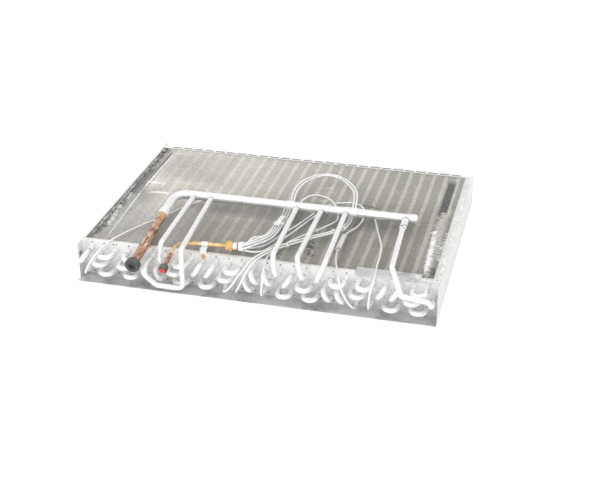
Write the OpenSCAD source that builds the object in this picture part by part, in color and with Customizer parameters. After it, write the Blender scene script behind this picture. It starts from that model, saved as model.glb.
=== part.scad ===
/* [Coil tubes] */
// Outside diameter of the coil tubes and return bends
tube_od = 12.7; // [11:0.1:13.5]
// Wall of the coil tubes
tube_wall = 0.6; // [0.4:0.1:1.2]
// Distance between neighbouring tubes in one row
tube_pitch = 31.75; // [30.5:0.25:33]
// Distance between the rows
row_pitch = 23; // [22:0.5:25]
// Height of the lowest row above the underside of the base
low_row_z = 30; // [28:0.5:32]
// Straight tube end in front of the front sheet
stub_len = 22; // [18:1:24]
// Length of the belled socket at the end of each tube
socket_len = 9; // [5:1:12]
// Diameter of the belled socket
socket_od = 14.4; // [14:0.1:15.5]
// Straight leg of a return bend before its curve
bend_leg = 8.7; // [6:0.1:12]
// Straight length of the hairpins behind the back sheet
back_leg = 14; // [8:1:24]

/* [Casing] */
// Distance between the outer faces of the front and back sheets
coil_depth = 580; // [570:1:620]
// Height of the sheets above the underside of the base
casing_h = 92; // [91:0.5:98]
// Thickness of the tube sheets and side plates
sheet_t = 1.5; // [1:0.1:2]
// From the outermost tube of the top row to the outside of a side plate
side_margin = 28.25; // [27.5:0.25:34]
// How far the side plates stand in front of and behind the tube sheets
side_reach = 26; // [20:1:32]
// Depth of the front sheet's flanges
front_flange = 13; // [11:1:16]
// Depth of the back sheet's flanges
back_flange = 14; // [10:1:20]
// Thickness of the base sheet
base_t = 1.2; // [1:0.1:2]
// How far the base sheet reaches past the tube sheets
base_reach = 43; // [38:1:48]
// Gap between a coil tube and its hole in a tube sheet
sheet_hole_gap = 0.2; // [0.1:0.05:0.4]
// Diameter of the small holes along the edges of the front sheet
edge_hole_d = 4; // [3:0.1:5]
// Distance of the upper line of holes from the top edge
edge_hole_in = 4; // [3.8:0.2:6]
// Height of the lower line of holes above the underside of the base
low_hole_z = 9; // [7:0.5:12]
// Length of the relief slots in the back flange
slot_len = 25.4; // [20:0.2:28]
// Width of the relief slots
slot_w = 3.6; // [2:0.2:5]
// Width of the lip on top of the left side plate
left_lip = 6; // [4:1:8]
// Width of the lip on top of the right side plate
right_lip = 18; // [14:1:20]
// Diameter of the rivet shanks
rivet_d = 3.2; // [2.6:0.2:4]
// Diameter of the rivet heads
rivet_head_d = 6.4; // [5.6:0.2:8]
// Height of the rivet heads
rivet_head_h = 1.4; // [1:0.1:2]

/* [Fins] */
// Thickness of the slices that stand for the fins
fin_t = 2.35; // [1.5:0.05:3]
// Distance between the fins
fin_pitch = 6.4; // [6:0.1:8]
// Height of the fin pack
fin_h = 69; // [66:0.5:70]
// Depth of the open gaps between the fin edges
fin_gap_depth = 4; // [2:0.5:5]
// Gap between the fin pack and the side plates
fin_side_gap = 4; // [2:0.5:4.5]
// Width of the bent down edge on the left
crush_w = 15; // [8:1:15]
// Depth of the bent down edge on the left
crush_h = 24; // [10:1:26]
// Gap between a fin collar and its tube
fin_hole_gap = 0.1; // [0.05:0.05:0.2]

/* [Suction side] */
// Outside diameter of the suction header and stub
header_od = 22.2; // [20:0.1:23]
// Wall of the header
header_wall = 1.1; // [0.8:0.1:1.5]
// Distance of the header behind the front sheet
header_y = 232; // [225:1:240]
// Height of the header axis
header_z = 125; // [124.5:0.5:130]
// Where the header's closed end lies
header_right = 342; // [338:1:350]
// Where the suction stub lies
stub_x = -275; // [-280:1:-270]
// Slope of the stub down to the front
stub_slope = 5.2; // [4.4:0.1:5.3]
// Radius of the elbow
elbow_r = 33; // [28:1:38]
// Length of the elbow's straight end
elbow_leg = 52; // [40:1:60]
// Length of the bell that joins elbow and stub
bell_len = 24; // [18:1:30]
// Diameter of the bell
bell_od = 27; // [26:0.5:30]
// Length of the copper stub
stub_reach = 228; // [215:1:232]
// Diameter of the rubber cap
cap_od = 36; // [32:1:40]
// Length of the rubber cap
cap_len = 14; // [12:1:18]
// Outside diameter of the suction branches
branch_od = 12.7; // [11.5:0.1:12.8]
// Wall of the branches
branch_wall = 0.7; // [0.5:0.1:1]
// Bend radius of the branches
branch_bend = 14; // [12:1:15]

/* [Liquid side] */
// Height of the distributor over the front sheet
liquid_z = 111; // [109:0.5:114]
// Where the liquid line runs forward
liquid_x = -193; // [-198:1:-188]
// Outside diameter of the copper and brass liquid tubes
liquid_od = 9.5; // [8:0.1:10]
// Outside diameter of the thin link between them
link_od = 6.4; // [5:0.1:7.5]
// Width across the flats of the hexagon nut
nut_af = 24; // [20:0.5:25]
// Length of the nut
nut_len = 17; // [14:1:20]
// Diameter of the feeder tubes
feeder_od = 4.8; // [4:0.1:5]
// Radius of the ring of feeder holes in the fan collar
feeder_ring = 8; // [7:0.5:9]

/* [Hidden] */

$fn = 48;
aluminium = [0.84, 0.85, 0.86];
galvanised = [0.55, 0.56, 0.57];
copper = [0.55, 0.32, 0.24];
brass = [0.76, 0.60, 0.24];

// Rows: 0 is the top row, 1 the middle row, 2 the bottom row
top_row = 0;
mid_row = 1;
low_row = 2;
last_column = 26;
half_columns = last_column / 2;
coil_w = last_column * tube_pitch + 2 * side_margin;
side_x = coil_w / 2;
front_y = -coil_depth / 2;
top_z = casing_h;
fin_mid_z = low_row_z + row_pitch;
fin_low_z = fin_mid_z - fin_h / 2;
fin_top_z = fin_mid_z + fin_h / 2;
high_hole_z = top_z - edge_hole_in;

// Each circuit runs from its suction end to its liquid end through these runs of tubes:
// row, first column, last column
circuits = [
    [[top_row, 6, 9], [mid_row, 9, 6], [low_row, 6, 11]],
    [[top_row, 5, 0], [mid_row, 0, 5], [low_row, 5, 0]],
    [[top_row, 15, 14], [mid_row, 15, 14], [top_row, 13, 10], [mid_row, 10, 13], [low_row, 13, 12]],
    [[top_row, 17, 16], [mid_row, 16, 19], [low_row, 19, 14]],
    [[top_row, 18, 23], [mid_row, 23, 20], [low_row, 20, 21]],
    [[mid_row, 27, 27], [top_row, 26, 24], [mid_row, 24, 26], [low_row, 26, 22]]
];

// Place of one tube as [x, z], from its row and column
function tube_x(row, col) = (col - (row == mid_row ? 0.5 : 0) - half_columns) * tube_pitch;
function tube_z(row) = low_row_z + (low_row - row) * row_pitch;
function tube_at(t) = [tube_x(t[0], t[1]), tube_z(t[0])];
function run_tubes(r) =
    let (s = r[2] >= r[1] ? 1 : -1) [for (i = [0:abs(r[2] - r[1])]) [r[0], r[1] + s * i]];
function circuit_tubes(c) = [for (r = circuits[c]) each run_tubes(r)];
all_tubes = [for (c = [0:5]) each circuit_tubes(c)];

// Suction ends are the first tubes of the circuits, liquid ends the last ones
function suction_end(c) = tube_at(circuit_tubes(c)[0]);
function liquid_end(c) = let (t = circuit_tubes(c)) tube_at(t[len(t) - 1]);

// Vector helpers
function unit(v) = v / norm(v);
function side_of(d) = unit(cross(d, abs(d[2]) < 0.9 ? [0, 0, 1] : [1, 0, 0]));
function frame(x, y, z, o) = [
    [x[0], y[0], z[0], o[0]],
    [x[1], y[1], z[1], o[1]],
    [x[2], y[2], z[2], o[2]],
    [0, 0, 0, 1]
];

module ring(od, id) {
    difference() {
        circle(d = od);
        circle(d = id);
    }
}

// A straight hollow length from p to q
module tube_length(p, q, od, id) {
    d = unit(q - p);
    u = side_of(d);
    multmatrix(frame(u, cross(d, u), d, p))
        linear_extrude(norm(q - p)) ring(od, id);
}

// Bends are a little thinner than the straight lengths, which run on over their ends
bend_step = 0.2;
lap = 0.4;
module bend_ring(od, id) {
    ring(od - bend_step, id + bend_step);
}

// A hollow bend round the corner c, entered along d1 and left along d2
module tube_corner(c, d1, d2, r, od, id) {
    turn = acos(max(-1, min(1, d1 * d2)));
    inward = unit(d2 - d1 * (d1 * d2));
    start = c - d1 * (r * tan(turn / 2));
    multmatrix(frame(-inward, d1, cross(-inward, d1), start + inward * r))
        rotate_extrude(angle = turn) translate([r, 0]) bend_ring(od, id);
}

// Slight turns are taken in a wider bend
slight = 10;
wide_bend = 12;
function corner_turn(p, i) = acos(unit(p[i] - p[i - 1]) * unit(p[i + 1] - p[i]));
function corner_r(p, i, r) = corner_turn(p, i) < slight ? wide_bend * r : r;
function corner_cut(p, i, r) =
    i == 0 || i == len(p) - 1 ? 0 : corner_r(p, i, r) * tan(corner_turn(p, i) / 2);

// A hollow pipe through the points p with rounded corners
module pipe(p, r, od, id) {
    for (i = [0:len(p) - 2]) {
        d = unit(p[i + 1] - p[i]);
        a = i == 0 ? 0 : corner_cut(p, i, r) - lap;
        b = i == len(p) - 2 ? 0 : corner_cut(p, i + 1, r) - lap;
        tube_length(p[i] + d * a, p[i + 1] - d * b, od, id);
    }
    for (i = [1:len(p) - 2])
        tube_corner(p[i], unit(p[i] - p[i - 1]), unit(p[i + 1] - p[i]), corner_r(p, i, r), od, id);
}

// Everything below is placed from the middle of the front sheet's outer face, at base height
module from_front() {
    translate([0, front_y, 0]) children();
}

module hole_grid(gap) {
    for (t = all_tubes) translate(tube_at(t)) circle(d = tube_od + 2 * gap);
}

module edge_holes() {
    for (i = [0:last_column]) {
        translate([tube_x(top_row, i), high_hole_z]) circle(d = edge_hole_d);
        translate([tube_x(top_row, i), low_hole_z]) circle(d = edge_hole_d);
    }
    translate([tube_x(top_row, 1.75), high_hole_z]) circle(d = edge_hole_d);
}

// A sheet standing in the XZ plane between y and y + sheet_t
module upright(y) {
    translate([0, y + sheet_t, 0]) rotate([90, 0, 0]) linear_extrude(sheet_t) children();
}

sheet_half_w = side_x - sheet_t;
rivet_zs = [base_t + 12, (base_t + top_z) / 2, top_z - 12];
rivet_in = sheet_t + 6;

// Flanges of a tube sheet, all turned towards the fins from the outer face at y = 0
module sheet_flanges(depth) {
    for (z = [base_t, top_z - sheet_t])
        translate([-sheet_half_w, 0, z]) cube([2 * sheet_half_w, depth, sheet_t]);
    for (s = [-1, 1])
        difference() {
            translate([s * (sheet_half_w - sheet_t / 2) - sheet_t / 2, 0, base_t])
                cube([sheet_t, depth, top_z - base_t]);
            for (z = rivet_zs)
                translate([s * sheet_half_w, rivet_in, z]) rotate([0, 90, 0])
                    cylinder(d = rivet_d, h = 4 * sheet_t, center = true);
        }
}

module base_sheet() {
    color(galvanised)
        translate([-side_x, front_y - base_reach, 0])
            cube([2 * side_x, coil_depth + 2 * base_reach, base_t]);
}

// Small slots in the top flange at the right end, beside the angle
module flange_slots() {
    slot = [7, 2.4, 3 * sheet_t];
    for (p = [[405, 4.5], [416, 4.5], [428, 7]])
        translate([p[0], p[1], top_z - 2 * sheet_t]) cube(slot);
}

module front_tube_sheet() {
    color(aluminium) from_front() {
        upright(0) difference() {
            translate([-sheet_half_w, base_t]) square([2 * sheet_half_w, top_z - base_t]);
            hole_grid(sheet_hole_gap);
            edge_holes();
        }
        difference() {
            sheet_flanges(front_flange);
            flange_slots();
        }
    }
}

module back_slots() {
    for (i = [0:last_column - 1])
        translate([tube_x(top_row, i + 0.5) - slot_len / 2, sheet_t + 1.2, top_z - 2 * sheet_t])
            cube([slot_len, slot_w, 3 * sheet_t]);
}

module back_tube_sheet() {
    color(aluminium) translate([0, -front_y, 0]) mirror([0, 1, 0]) {
        upright(0) difference() {
            translate([-sheet_half_w, base_t]) square([2 * sheet_half_w, top_z - base_t]);
            hole_grid(sheet_hole_gap);
        }
        difference() {
            sheet_flanges(back_flange);
            back_slots();
        }
    }
}

// A side plate with its top lip turned towards the fins; s is -1 on the left and 1 on the right,
// and front_lip is how long the lip runs in front of the front sheet
lip_gap = 0.3;
module side_plate(s, lip, front_lip) {
    lip_len = coil_depth - front_flange - back_flange - 2 * lip_gap;
    difference() {
        translate([s * (side_x - sheet_t / 2) - sheet_t / 2, -side_reach, base_t])
            cube([sheet_t, coil_depth + 2 * side_reach, top_z - base_t]);
        for (y = [rivet_in, coil_depth - rivet_in], z = rivet_zs)
            translate([s * side_x, y, z]) rotate([0, 90, 0])
                cylinder(d = rivet_d, h = 4 * sheet_t, center = true);
    }
    translate([s * (side_x - lip / 2) - lip / 2, front_flange + lip_gap, top_z - sheet_t])
        cube([lip, lip_len, sheet_t]);
    if (front_lip > 0)
        translate([s * (side_x - lip / 2) - lip / 2, -side_reach, top_z - sheet_t])
            cube([lip, front_lip, sheet_t]);
}

module left_side_plate() {
    color(aluminium) from_front() side_plate(-1, left_lip, 0);
}

module right_side_plate() {
    color(aluminium) from_front() side_plate(1, right_lip, side_reach - angle_t - lip_gap);
}

// Rivets through side plate and flange, heads outside and a small swell inside
module casing_rivets() {
    swell = 0.6;
    color(aluminium) from_front()
        for (s = [-1, 1], y = [rivet_in, coil_depth - rivet_in], z = rivet_zs)
            translate([s * side_x, y, z]) rotate([0, s * 90, 0]) {
                translate([0, 0, -2 * sheet_t]) cylinder(d = rivet_d - 0.1, h = 2 * sheet_t);
                cylinder(d1 = rivet_head_d, d2 = rivet_d, h = rivet_head_h);
                translate([0, 0, -2 * sheet_t - swell]) cylinder(d = rivet_d + 0.8, h = swell);
            }
}

// Side view of the fin pack: slices standing on a shared middle, open above and below
fin_clear = sheet_t + 1;
fin_count = floor((coil_depth - 2 * fin_clear - fin_t) / fin_pitch) + 1;
fin_len = (fin_count - 1) * fin_pitch + fin_t;
function comb_edge(z, dz) = [
    for (i = [0:fin_count - 1])
        let (y = i * fin_pitch)
        each i < fin_count - 1
            ? [[y, z], [y + fin_t, z], [y + fin_t, z - dz], [y + fin_pitch, z - dz]]
            : [[y, z], [y + fin_t, z]]
];
function backwards(v) = [for (i = [len(v) - 1:-1:0]) v[i]];

module fin_pack() {
    fin_half_w = side_x - fin_side_gap;
    start_y = (coil_depth - fin_len) / 2;
    color([0.66, 0.65, 0.62]) from_front() intersection() {
        translate([-fin_half_w, start_y, 0]) rotate([90, 0, 90]) linear_extrude(2 * fin_half_w)
            polygon(concat(
                comb_edge(fin_top_z, fin_gap_depth), backwards(comb_edge(fin_low_z, -fin_gap_depth))
            ));
        translate([0, start_y + fin_len + 1, 0]) rotate([90, 0, 0]) linear_extrude(fin_len + 2)
            difference() {
                polygon([
                    [-fin_half_w, fin_low_z - 1], [fin_half_w, fin_low_z - 1],
                    [fin_half_w, fin_top_z + 1], [crush_w - fin_half_w, fin_top_z + 1],
                    [crush_w - fin_half_w, fin_top_z], [-fin_half_w, fin_top_z - crush_h]
                ]);
                hole_grid(fin_hole_gap);
            }
    }
}

tube_id = tube_od - 2 * tube_wall;

// Half turn between the tubes a and b, each [x, z], starting at y and bulging by side (-1 front, 1 back)
module half_turn(a, b, y, side) {
    p = [a[0], y, a[1]];
    q = [b[0], y, b[1]];
    r = norm(q - p) / 2;
    x = unit(p - q);
    forward = [0, side, 0];
    multmatrix(frame(x, forward, cross(x, forward), (p + q) / 2))
        rotate_extrude(angle = 180) translate([r, 0]) bend_ring(tube_od, tube_id);
}

// One hairpin: two tubes with belled ends and the bend behind the back sheet
module hairpin(a, b) {
    back_y = coil_depth + back_leg;
    for (t = [a, b]) {
        tube_length([t[0], -stub_len, t[1]], [t[0], -stub_len + socket_len, t[1]], socket_od, tube_id);
        tube_length([t[0], -stub_len + socket_len, t[1]], [t[0], back_y + lap, t[1]], tube_od, tube_id);
    }
    half_turn(a, b, back_y, 1);
}

module hairpins(c) {
    t = circuit_tubes(c);
    color(aluminium) from_front()
        for (i = [0:2:len(t) - 2]) hairpin(tube_at(t[i]), tube_at(t[i + 1]));
}

// One return bend brazed to the front ends of two neighbouring hairpins
module return_bend(a, b) {
    start = -stub_len;
    for (t = [a, b])
        tube_length([t[0], start, t[1]], [t[0], start - bend_leg - lap, t[1]], tube_od, tube_id);
    half_turn(a, b, start - bend_leg, -1);
}

module return_bends(c) {
    t = circuit_tubes(c);
    color(aluminium) from_front()
        for (i = [1:2:len(t) - 3]) return_bend(tube_at(t[i]), tube_at(t[i + 1]));
}

header_id = header_od - 2 * header_wall;
header_left = stub_x + elbow_r;
branch_id = branch_od - 2 * branch_wall;
// Where each branch leaves the header
branch_starts = [-226, -179, 45, 108, 170, 320];
// The last branch leaves through a wider socket
socket_branch = 5;
branch_socket_od = 17;
branch_socket_len = 28;
function branch_hole_d(c) = (c == socket_branch ? branch_socket_od : branch_od) + 0.1;

module suction_header() {
    color(aluminium) from_front() difference() {
        translate([header_left, header_y, header_z]) rotate([0, 90, 0])
            cylinder(d = header_od, h = header_right - header_left);
        translate([header_left - 1, header_y, header_z]) rotate([0, 90, 0])
            cylinder(d = header_id, h = header_right - header_left + 2);
        for (c = [0:5])
            translate([branch_starts[c], header_y, header_z]) rotate([90, 0, 0])
                cylinder(d = branch_hole_d(c), h = header_od);
    }
}

// Domed cap pushed over the closed end
module header_end_cap() {
    cap_wall = 1.2;
    cap_reach = 12;
    outer = header_od / 2 + 0.05 + cap_wall;
    color(aluminium) from_front() translate([header_right, header_y, header_z]) rotate([0, 90, 0])
        rotate_extrude() polygon(concat(
            [[0, 0.1], [header_od / 2 + 0.05, 0.1], [header_od / 2 + 0.05, -cap_reach], [outer, -cap_reach]],
            [for (a = [0:15:90]) [outer * cos(a), 7 * sin(a)]]
        ));
}

// Joint sleeves round the header beside the third and fifth branch
module header_sleeves() {
    sleeve_len = 18;
    color(aluminium) from_front()
        for (x = [branch_starts[2] - 26, branch_starts[4] + 12])
            translate([x, header_y, header_z]) rotate([0, 90, 0]) linear_extrude(sleeve_len)
                ring(header_od + 3.2, header_od + 0.1);
}

// Elbow and bell lie in a frame that starts at the header's axis and runs forward and down;
// its Z axis is their own axis
elbow_d = [0, -cos(stub_slope), -sin(stub_slope)];
module elbow_frame() {
    multmatrix(frame([1, 0, 0], cross(elbow_d, [1, 0, 0]), elbow_d, [stub_x, header_y, header_z]))
        children();
}
bell_start = elbow_r + elbow_leg;
stub_start = bell_start + bell_len / 2;

// The stub starts in the middle of the bell and is bent a little to the right there
stub_swing = 1.4;
stub_gap = 0.3;
module stub_frame() {
    x = [cos(stub_swing), sin(stub_swing), 0];
    d = [sin(stub_swing) * cos(stub_slope), -cos(stub_swing) * cos(stub_slope), -sin(stub_slope)];
    start = [stub_x, header_y, header_z] + elbow_d * (stub_start + stub_gap);
    multmatrix(frame(x, cross(d, x), d, start)) children();
}

module suction_elbow() {
    color(aluminium) from_front() elbow_frame() {
        translate([elbow_r, 0, elbow_r]) rotate([90, 0, 0]) rotate([0, 0, 180])
            rotate_extrude(angle = 90) translate([elbow_r, 0]) ring(header_od, header_id);
        translate([0, 0, elbow_r]) linear_extrude(elbow_leg + bell_len / 2 - 0.2) ring(header_od, header_id);
    }
}

module suction_bell() {
    taper = 5;
    inner = header_od / 2 + 0.05;
    wide = inner + 0.45;
    color([0.9, 0.9, 0.9]) from_front() elbow_frame() translate([0, 0, bell_start]) rotate_extrude()
        polygon([
            [inner, 0], [inner + 0.8, 0], [bell_od / 2, taper],
            [bell_od / 2, bell_len - 1.5], [bell_od / 2 - 1, bell_len], [wide, bell_len],
            [wide, bell_len / 2], [inner, bell_len / 2]
        ]);
}

// Copper stub with a swaged joint over the front edge of the coil
module suction_stub() {
    swage_at = 132;
    swage_len = 22;
    swage_grow = 0.6;
    outer = header_od / 2;
    color(copper) from_front() stub_frame() rotate_extrude()
        polygon([
            [header_id / 2, 0], [outer, 0], [outer, swage_at],
            [outer + swage_grow, swage_at + 1], [outer + swage_grow, swage_at + swage_len],
            [outer, swage_at + swage_len + 1], [outer, stub_reach], [header_id / 2, stub_reach]
        ]);
}

// Rubber cap over the open end, with a round recess in its face
module suction_cap() {
    web = 3;
    recess_r = 8;
    edge = 2;
    inner = header_od / 2 + 0.05;
    grip = cap_len - 2 * web - 2;
    color([0.12, 0.12, 0.12]) from_front() stub_frame() translate([0, 0, stub_reach - grip]) rotate_extrude()
        polygon([
            [inner, 0], [cap_od / 2 - edge, 0], [cap_od / 2, edge], [cap_od / 2, cap_len - edge],
            [cap_od / 2 - edge, cap_len], [recess_r, cap_len], [recess_r, cap_len - web - 2],
            [0, cap_len - web - 2], [0, grip + 0.1], [inner, grip + 0.1]
        ]);
}

// Routes of the branches between header and coil, as points of their corners
drop_y = -stub_len - 26;
clear_y = -stub_len - 40;
function branch_start(c) = [
    branch_starts[c],
    header_y - header_od / 2 + header_wall - (c == socket_branch ? branch_socket_len - 12 : 0),
    header_z
];
function branch_end(c) = [suction_end(c)[0], -stub_len, suction_end(c)[1]];
function branch_turn(c) = [suction_end(c)[0], drop_y, suction_end(c)[1]];
function branch_lead(c) = branch_start(c) - [0, 16, 0];
// Where the simple branches bend down over the front edge, as [x, y]
branch_knees = [[-221, -30], [0, 0], [52, -24], [110, -23], [178, -30]];
function branch_route(c) =
    c == 1 ? [
        branch_start(c), branch_lead(c), [-160, clear_y, 130], [-160, clear_y, 28],
        [-226, clear_y, 28],
        [suction_end(c)[0], clear_y, 52], [suction_end(c)[0], clear_y, suction_end(c)[1]], branch_end(c)
    ] :
    c == socket_branch ? [
        branch_start(c), branch_lead(c), [330, -13, header_z], [361, clear_y, 81],
        [424, clear_y, 74], branch_turn(c), branch_end(c)
    ] :
    [
        branch_start(c), branch_lead(c), [branch_knees[c][0], branch_knees[c][1], header_z],
        branch_turn(c), branch_end(c)
    ];

module suction_branch(c) {
    color(aluminium) from_front()
        pipe(branch_route(c), c == socket_branch ? branch_bend - 4 : branch_bend, branch_od, branch_id);
}

module branch_socket() {
    start = [branch_starts[socket_branch], header_y - header_od / 2 + header_wall, header_z];
    color(aluminium) from_front()
        tube_length(start, start - [0, branch_socket_len, 0], branch_socket_od, branch_od + 1.2);
}

// Liquid line: capped copper tube, thin link, then the brass tube of the distributor,
// which is turned a little from the coil's long direction
distributor_turn = 5.5;
distributor_at = [liquid_x + 12, 10, liquid_z];
along = [cos(distributor_turn), sin(distributor_turn), 0];
liquid_front = [liquid_x - 4, -88, liquid_z - 22.5];
liquid_back = [liquid_x - 1, -38, liquid_z - 7];
liquid_len = norm(liquid_front - liquid_back);
liquid_d = (liquid_front - liquid_back) / liquid_len;
brass_start = 10;
brass_end = 106;
nut_end = brass_end + nut_len;
collar_len = 10;
collar_end = nut_end + collar_len;
seal_end = collar_end + 3;
fan_end = seal_end + 12;

module distributor_frame() {
    translate(distributor_at) rotate([0, 0, distributor_turn]) rotate([0, 90, 0]) children();
}

// Frame of the copper tube: from its back end forward and down to its open end
module liquid_frame() {
    multmatrix(frame(side_of(liquid_d), cross(liquid_d, side_of(liquid_d)), liquid_d, liquid_back))
        children();
}

module liquid_tube() {
    color(copper) from_front() liquid_frame()
        linear_extrude(liquid_len) ring(liquid_od, liquid_od - 1.6);
}

module liquid_cap() {
    cap_d = 21;
    length = 15;
    grip = 12;
    inner = liquid_od / 2 + 0.05;
    color([0.2, 0.2, 0.21]) from_front() liquid_frame()
        translate([0, 0, liquid_len - grip]) rotate_extrude()
            polygon([
                [inner, 0], [cap_d / 2 - 1.5, 0], [cap_d / 2, 1.5], [cap_d / 2, length - 1.5],
                [cap_d / 2 - 1.5, length], [7, length], [7, grip], [inner, grip]
            ]);
}

module liquid_plug() {
    color("firebrick") from_front() liquid_frame()
        translate([0, 0, liquid_len + 0.1]) rotate_extrude()
            polygon([
                [0, 0], [6.9, 0], [6.9, 4], [6, 5], [1.6, 5], [1.6, 3.5], [0, 3.5]
            ]);
}

module liquid_link() {
    join = 6;
    link_bend = 18;
    reducer = 7;
    color(brass) from_front() {
        pipe(
            [
                liquid_back, liquid_back - liquid_d * 24, distributor_at - along * 4,
                distributor_at + along * (brass_start + join)
            ],
            link_bend, link_od, link_od - 1.6
        );
        tube_length(liquid_back, liquid_back - liquid_d * reducer, liquid_od, link_od - 0.2);
    }
}

module distributor_tube() {
    color(brass) from_front() distributor_frame()
        translate([0, 0, brass_start]) linear_extrude(brass_end - brass_start) ring(liquid_od, link_od + 0.1);
}

module distributor_nut() {
    corner_d = nut_af / cos(30);
    color(brass) from_front() distributor_frame() translate([0, 0, brass_end]) intersection() {
        difference() {
            cylinder(d = corner_d, h = nut_len, $fn = 6);
            translate([0, 0, -1]) cylinder(d = link_od, h = nut_len + 2);
        }
        union() {
            cylinder(d1 = nut_af - 1, d2 = corner_d, h = 2);
            translate([0, 0, 2]) cylinder(d = corner_d, h = nut_len - 4);
            translate([0, 0, nut_len - 2]) cylinder(d1 = corner_d, d2 = nut_af - 1, h = 2);
        }
    }
}

module distributor_collar() {
    groove = 1.5;
    r = 9.5;
    color(aluminium) from_front() distributor_frame() translate([0, 0, nut_end]) rotate_extrude()
        polygon([
            [link_od / 2, 0], [r, 0], [r, 3], [r - groove, 4], [r - groove, 6], [r, 7], [r, collar_len],
            [link_od / 2, collar_len]
        ]);
}

module seal_ring() {
    color([0.45, 0.12, 0.12]) from_front() distributor_frame()
        translate([0, 0, collar_end]) rotate_extrude() translate([6.5, 0]) square([2, 3]);
}

function feeder_angle(i) = [0, 60, 120, 180, 300, 240][i];

// Fan collar with one hole for each feeder
module fan_collar() {
    seat = 8;
    color([0.9, 0.9, 0.9]) from_front() distributor_frame() translate([0, 0, seal_end]) difference() {
        cylinder(r1 = 10, r2 = feeder_ring + feeder_od / 2 + 2, h = fan_end - seal_end);
        for (i = [0:5]) rotate([0, 0, 90 + feeder_angle(i)])
            translate([feeder_ring, 0, fan_end - seal_end - seat])
                cylinder(d = feeder_od + 0.1, h = seat + 1);
    }
}

// Start of a feeder in the bottom of its hole, and a point just outside the collar
function feeder_start(i, s) =
    distributor_at + along * (fan_end + s)
    + [-along[1], along[0], 0] * (feeder_ring * cos(feeder_angle(i)))
    + [0, 0, feeder_ring * sin(feeder_angle(i))];

// Hand-set routes of the feeders from the fan collar to the front of the coil
feeder_routes = [
    [
        [-20, 54, 120], [0, 85, 113], [7, 125, 111], [8, 155, 110], [9, 200, 105], [6, 245, 102],
        [-4, 275, 102], [-25, 288, 104], [-63, 286, 106], [-123, 285, 106], [-169, 278, 104],
        [-204, 266, 100], [-228, 245, 97], [-259, 205, 96], [-288, 145, 96], [-315, 103, 97],
        [-342, 51, 98], [-362, 5, 98], [-374, -30, 93], [-384, -54, 82], [-394, -62, 66],
        [-404, -62, 48], [-411, -56, 34]
    ],
    [
        [-15, 46, 119], [6, 84, 116], [13, 124, 111], [14, 155, 110], [16, 200, 105], [15, 240, 103],
        [11, 290, 104], [6, 340, 110], [12, 378, 116], [32, 410, 121], [67, 432, 124],
        [108, 427, 124], [146, 396, 122], [170, 356, 118], [179, 308, 112], [182, 262, 107],
        [184, 225, 106], [184, 195, 110], [178, 165, 112], [160, 142, 112], [127, 117, 110],
        [94, 92, 107], [62, 64, 105], [34, 36, 102], [14, 10, 99], [4, -18, 97], [-5, -44, 87],
        [-13, -59, 70], [-20, -63, 55], [-27, -59, 41], [-31, -53, 32]
    ],
    [
        [-12, 37, 118], [12, 80, 115], [19, 122, 111], [20, 155, 110], [23, 200, 105], [22, 240, 103],
        [18, 290, 104], [14, 338, 110], [20, 372, 116], [38, 401, 121], [68, 424, 124],
        [104, 420, 124], [139, 391, 122], [163, 353, 118], [172, 306, 112], [175, 262, 107],
        [177, 225, 106], [177, 198, 110], [171, 171, 112], [155, 149, 112], [122, 124, 110],
        [88, 100, 107], [56, 72, 105], [27, 43, 102], [6, 14, 99], [-6, -14, 97], [-15, -40, 88],
        [-28, -55, 71], [-37, -61, 56], [-50, -63, 40], [-61, -57, 31]
    ],
    [
        [-8, 32, 115], [18, 76, 112], [25, 120, 110], [26, 155, 110], [30, 200, 104], [31, 235, 102],
        [34, 270, 103], [40, 300, 108], [52, 322, 111], [70, 330, 112], [95, 323, 112],
        [118, 305, 111], [136, 275, 107], [147, 240, 105], [148, 215, 105], [137, 190, 106],
        [112, 151, 106], [80, 114, 104], [50, 78, 98], [35, 46, 95], [27, 18, 95.5],
        [30, -10, 97], [33, -38, 92], [35, -57, 80], [35, -63, 62], [33, -63, 45], [32, -56, 33]
    ],
    [
        [-14, 38, 103], [6, 57, 101], [20, 92, 99], [34, 135, 98], [54, 179, 98], [74, 235, 98],
        [93, 285, 99], [118, 309, 102], [153, 320, 105], [184, 314, 106], [203, 290, 104],
        [209, 250, 101], [203, 213, 98], [189, 182, 98], [181, 155, 99], [181, 130, 100],
        [182, 85, 100], [185, 51, 99], [192, 22, 98], [203, -15, 98], [213, -45, 94],
        [222, -63, 82], [232, -67, 64], [243, -67, 46], [252, -59, 33]
    ],
    [
        [-12, 22, 101], [10, 35, 99], [27, 70, 98], [42, 112, 97], [61, 163, 98], [84, 232, 98],
        [104, 284, 97], [132, 303, 97], [167, 309, 97], [200, 303, 97], [224, 284, 98],
        [240, 249, 99], [259, 186, 103], [280, 120, 104], [286, 78, 102], [288, 31, 100],
        [291, 0, 100], [293, -30, 98], [291, -53, 84], [289, -63, 68], [287, -63, 48], [286, -56, 34]
    ]
];
feeder_circuit = [1, 2, 0, 3, 4, 5];
ferrule_len = 14;
ferrule_front = -stub_len - ferrule_len;
function feeder_stop(i) = let (e = liquid_end(feeder_circuit[i])) [e[0], ferrule_front, e[1]];
function feeder_points(i) = concat(
    [feeder_start(i, -7), feeder_start(i, 3)],
    feeder_routes[i],
    [feeder_stop(i) + [0, -10, 0], feeder_stop(i) + [0, 6, 0]]
);

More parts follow.
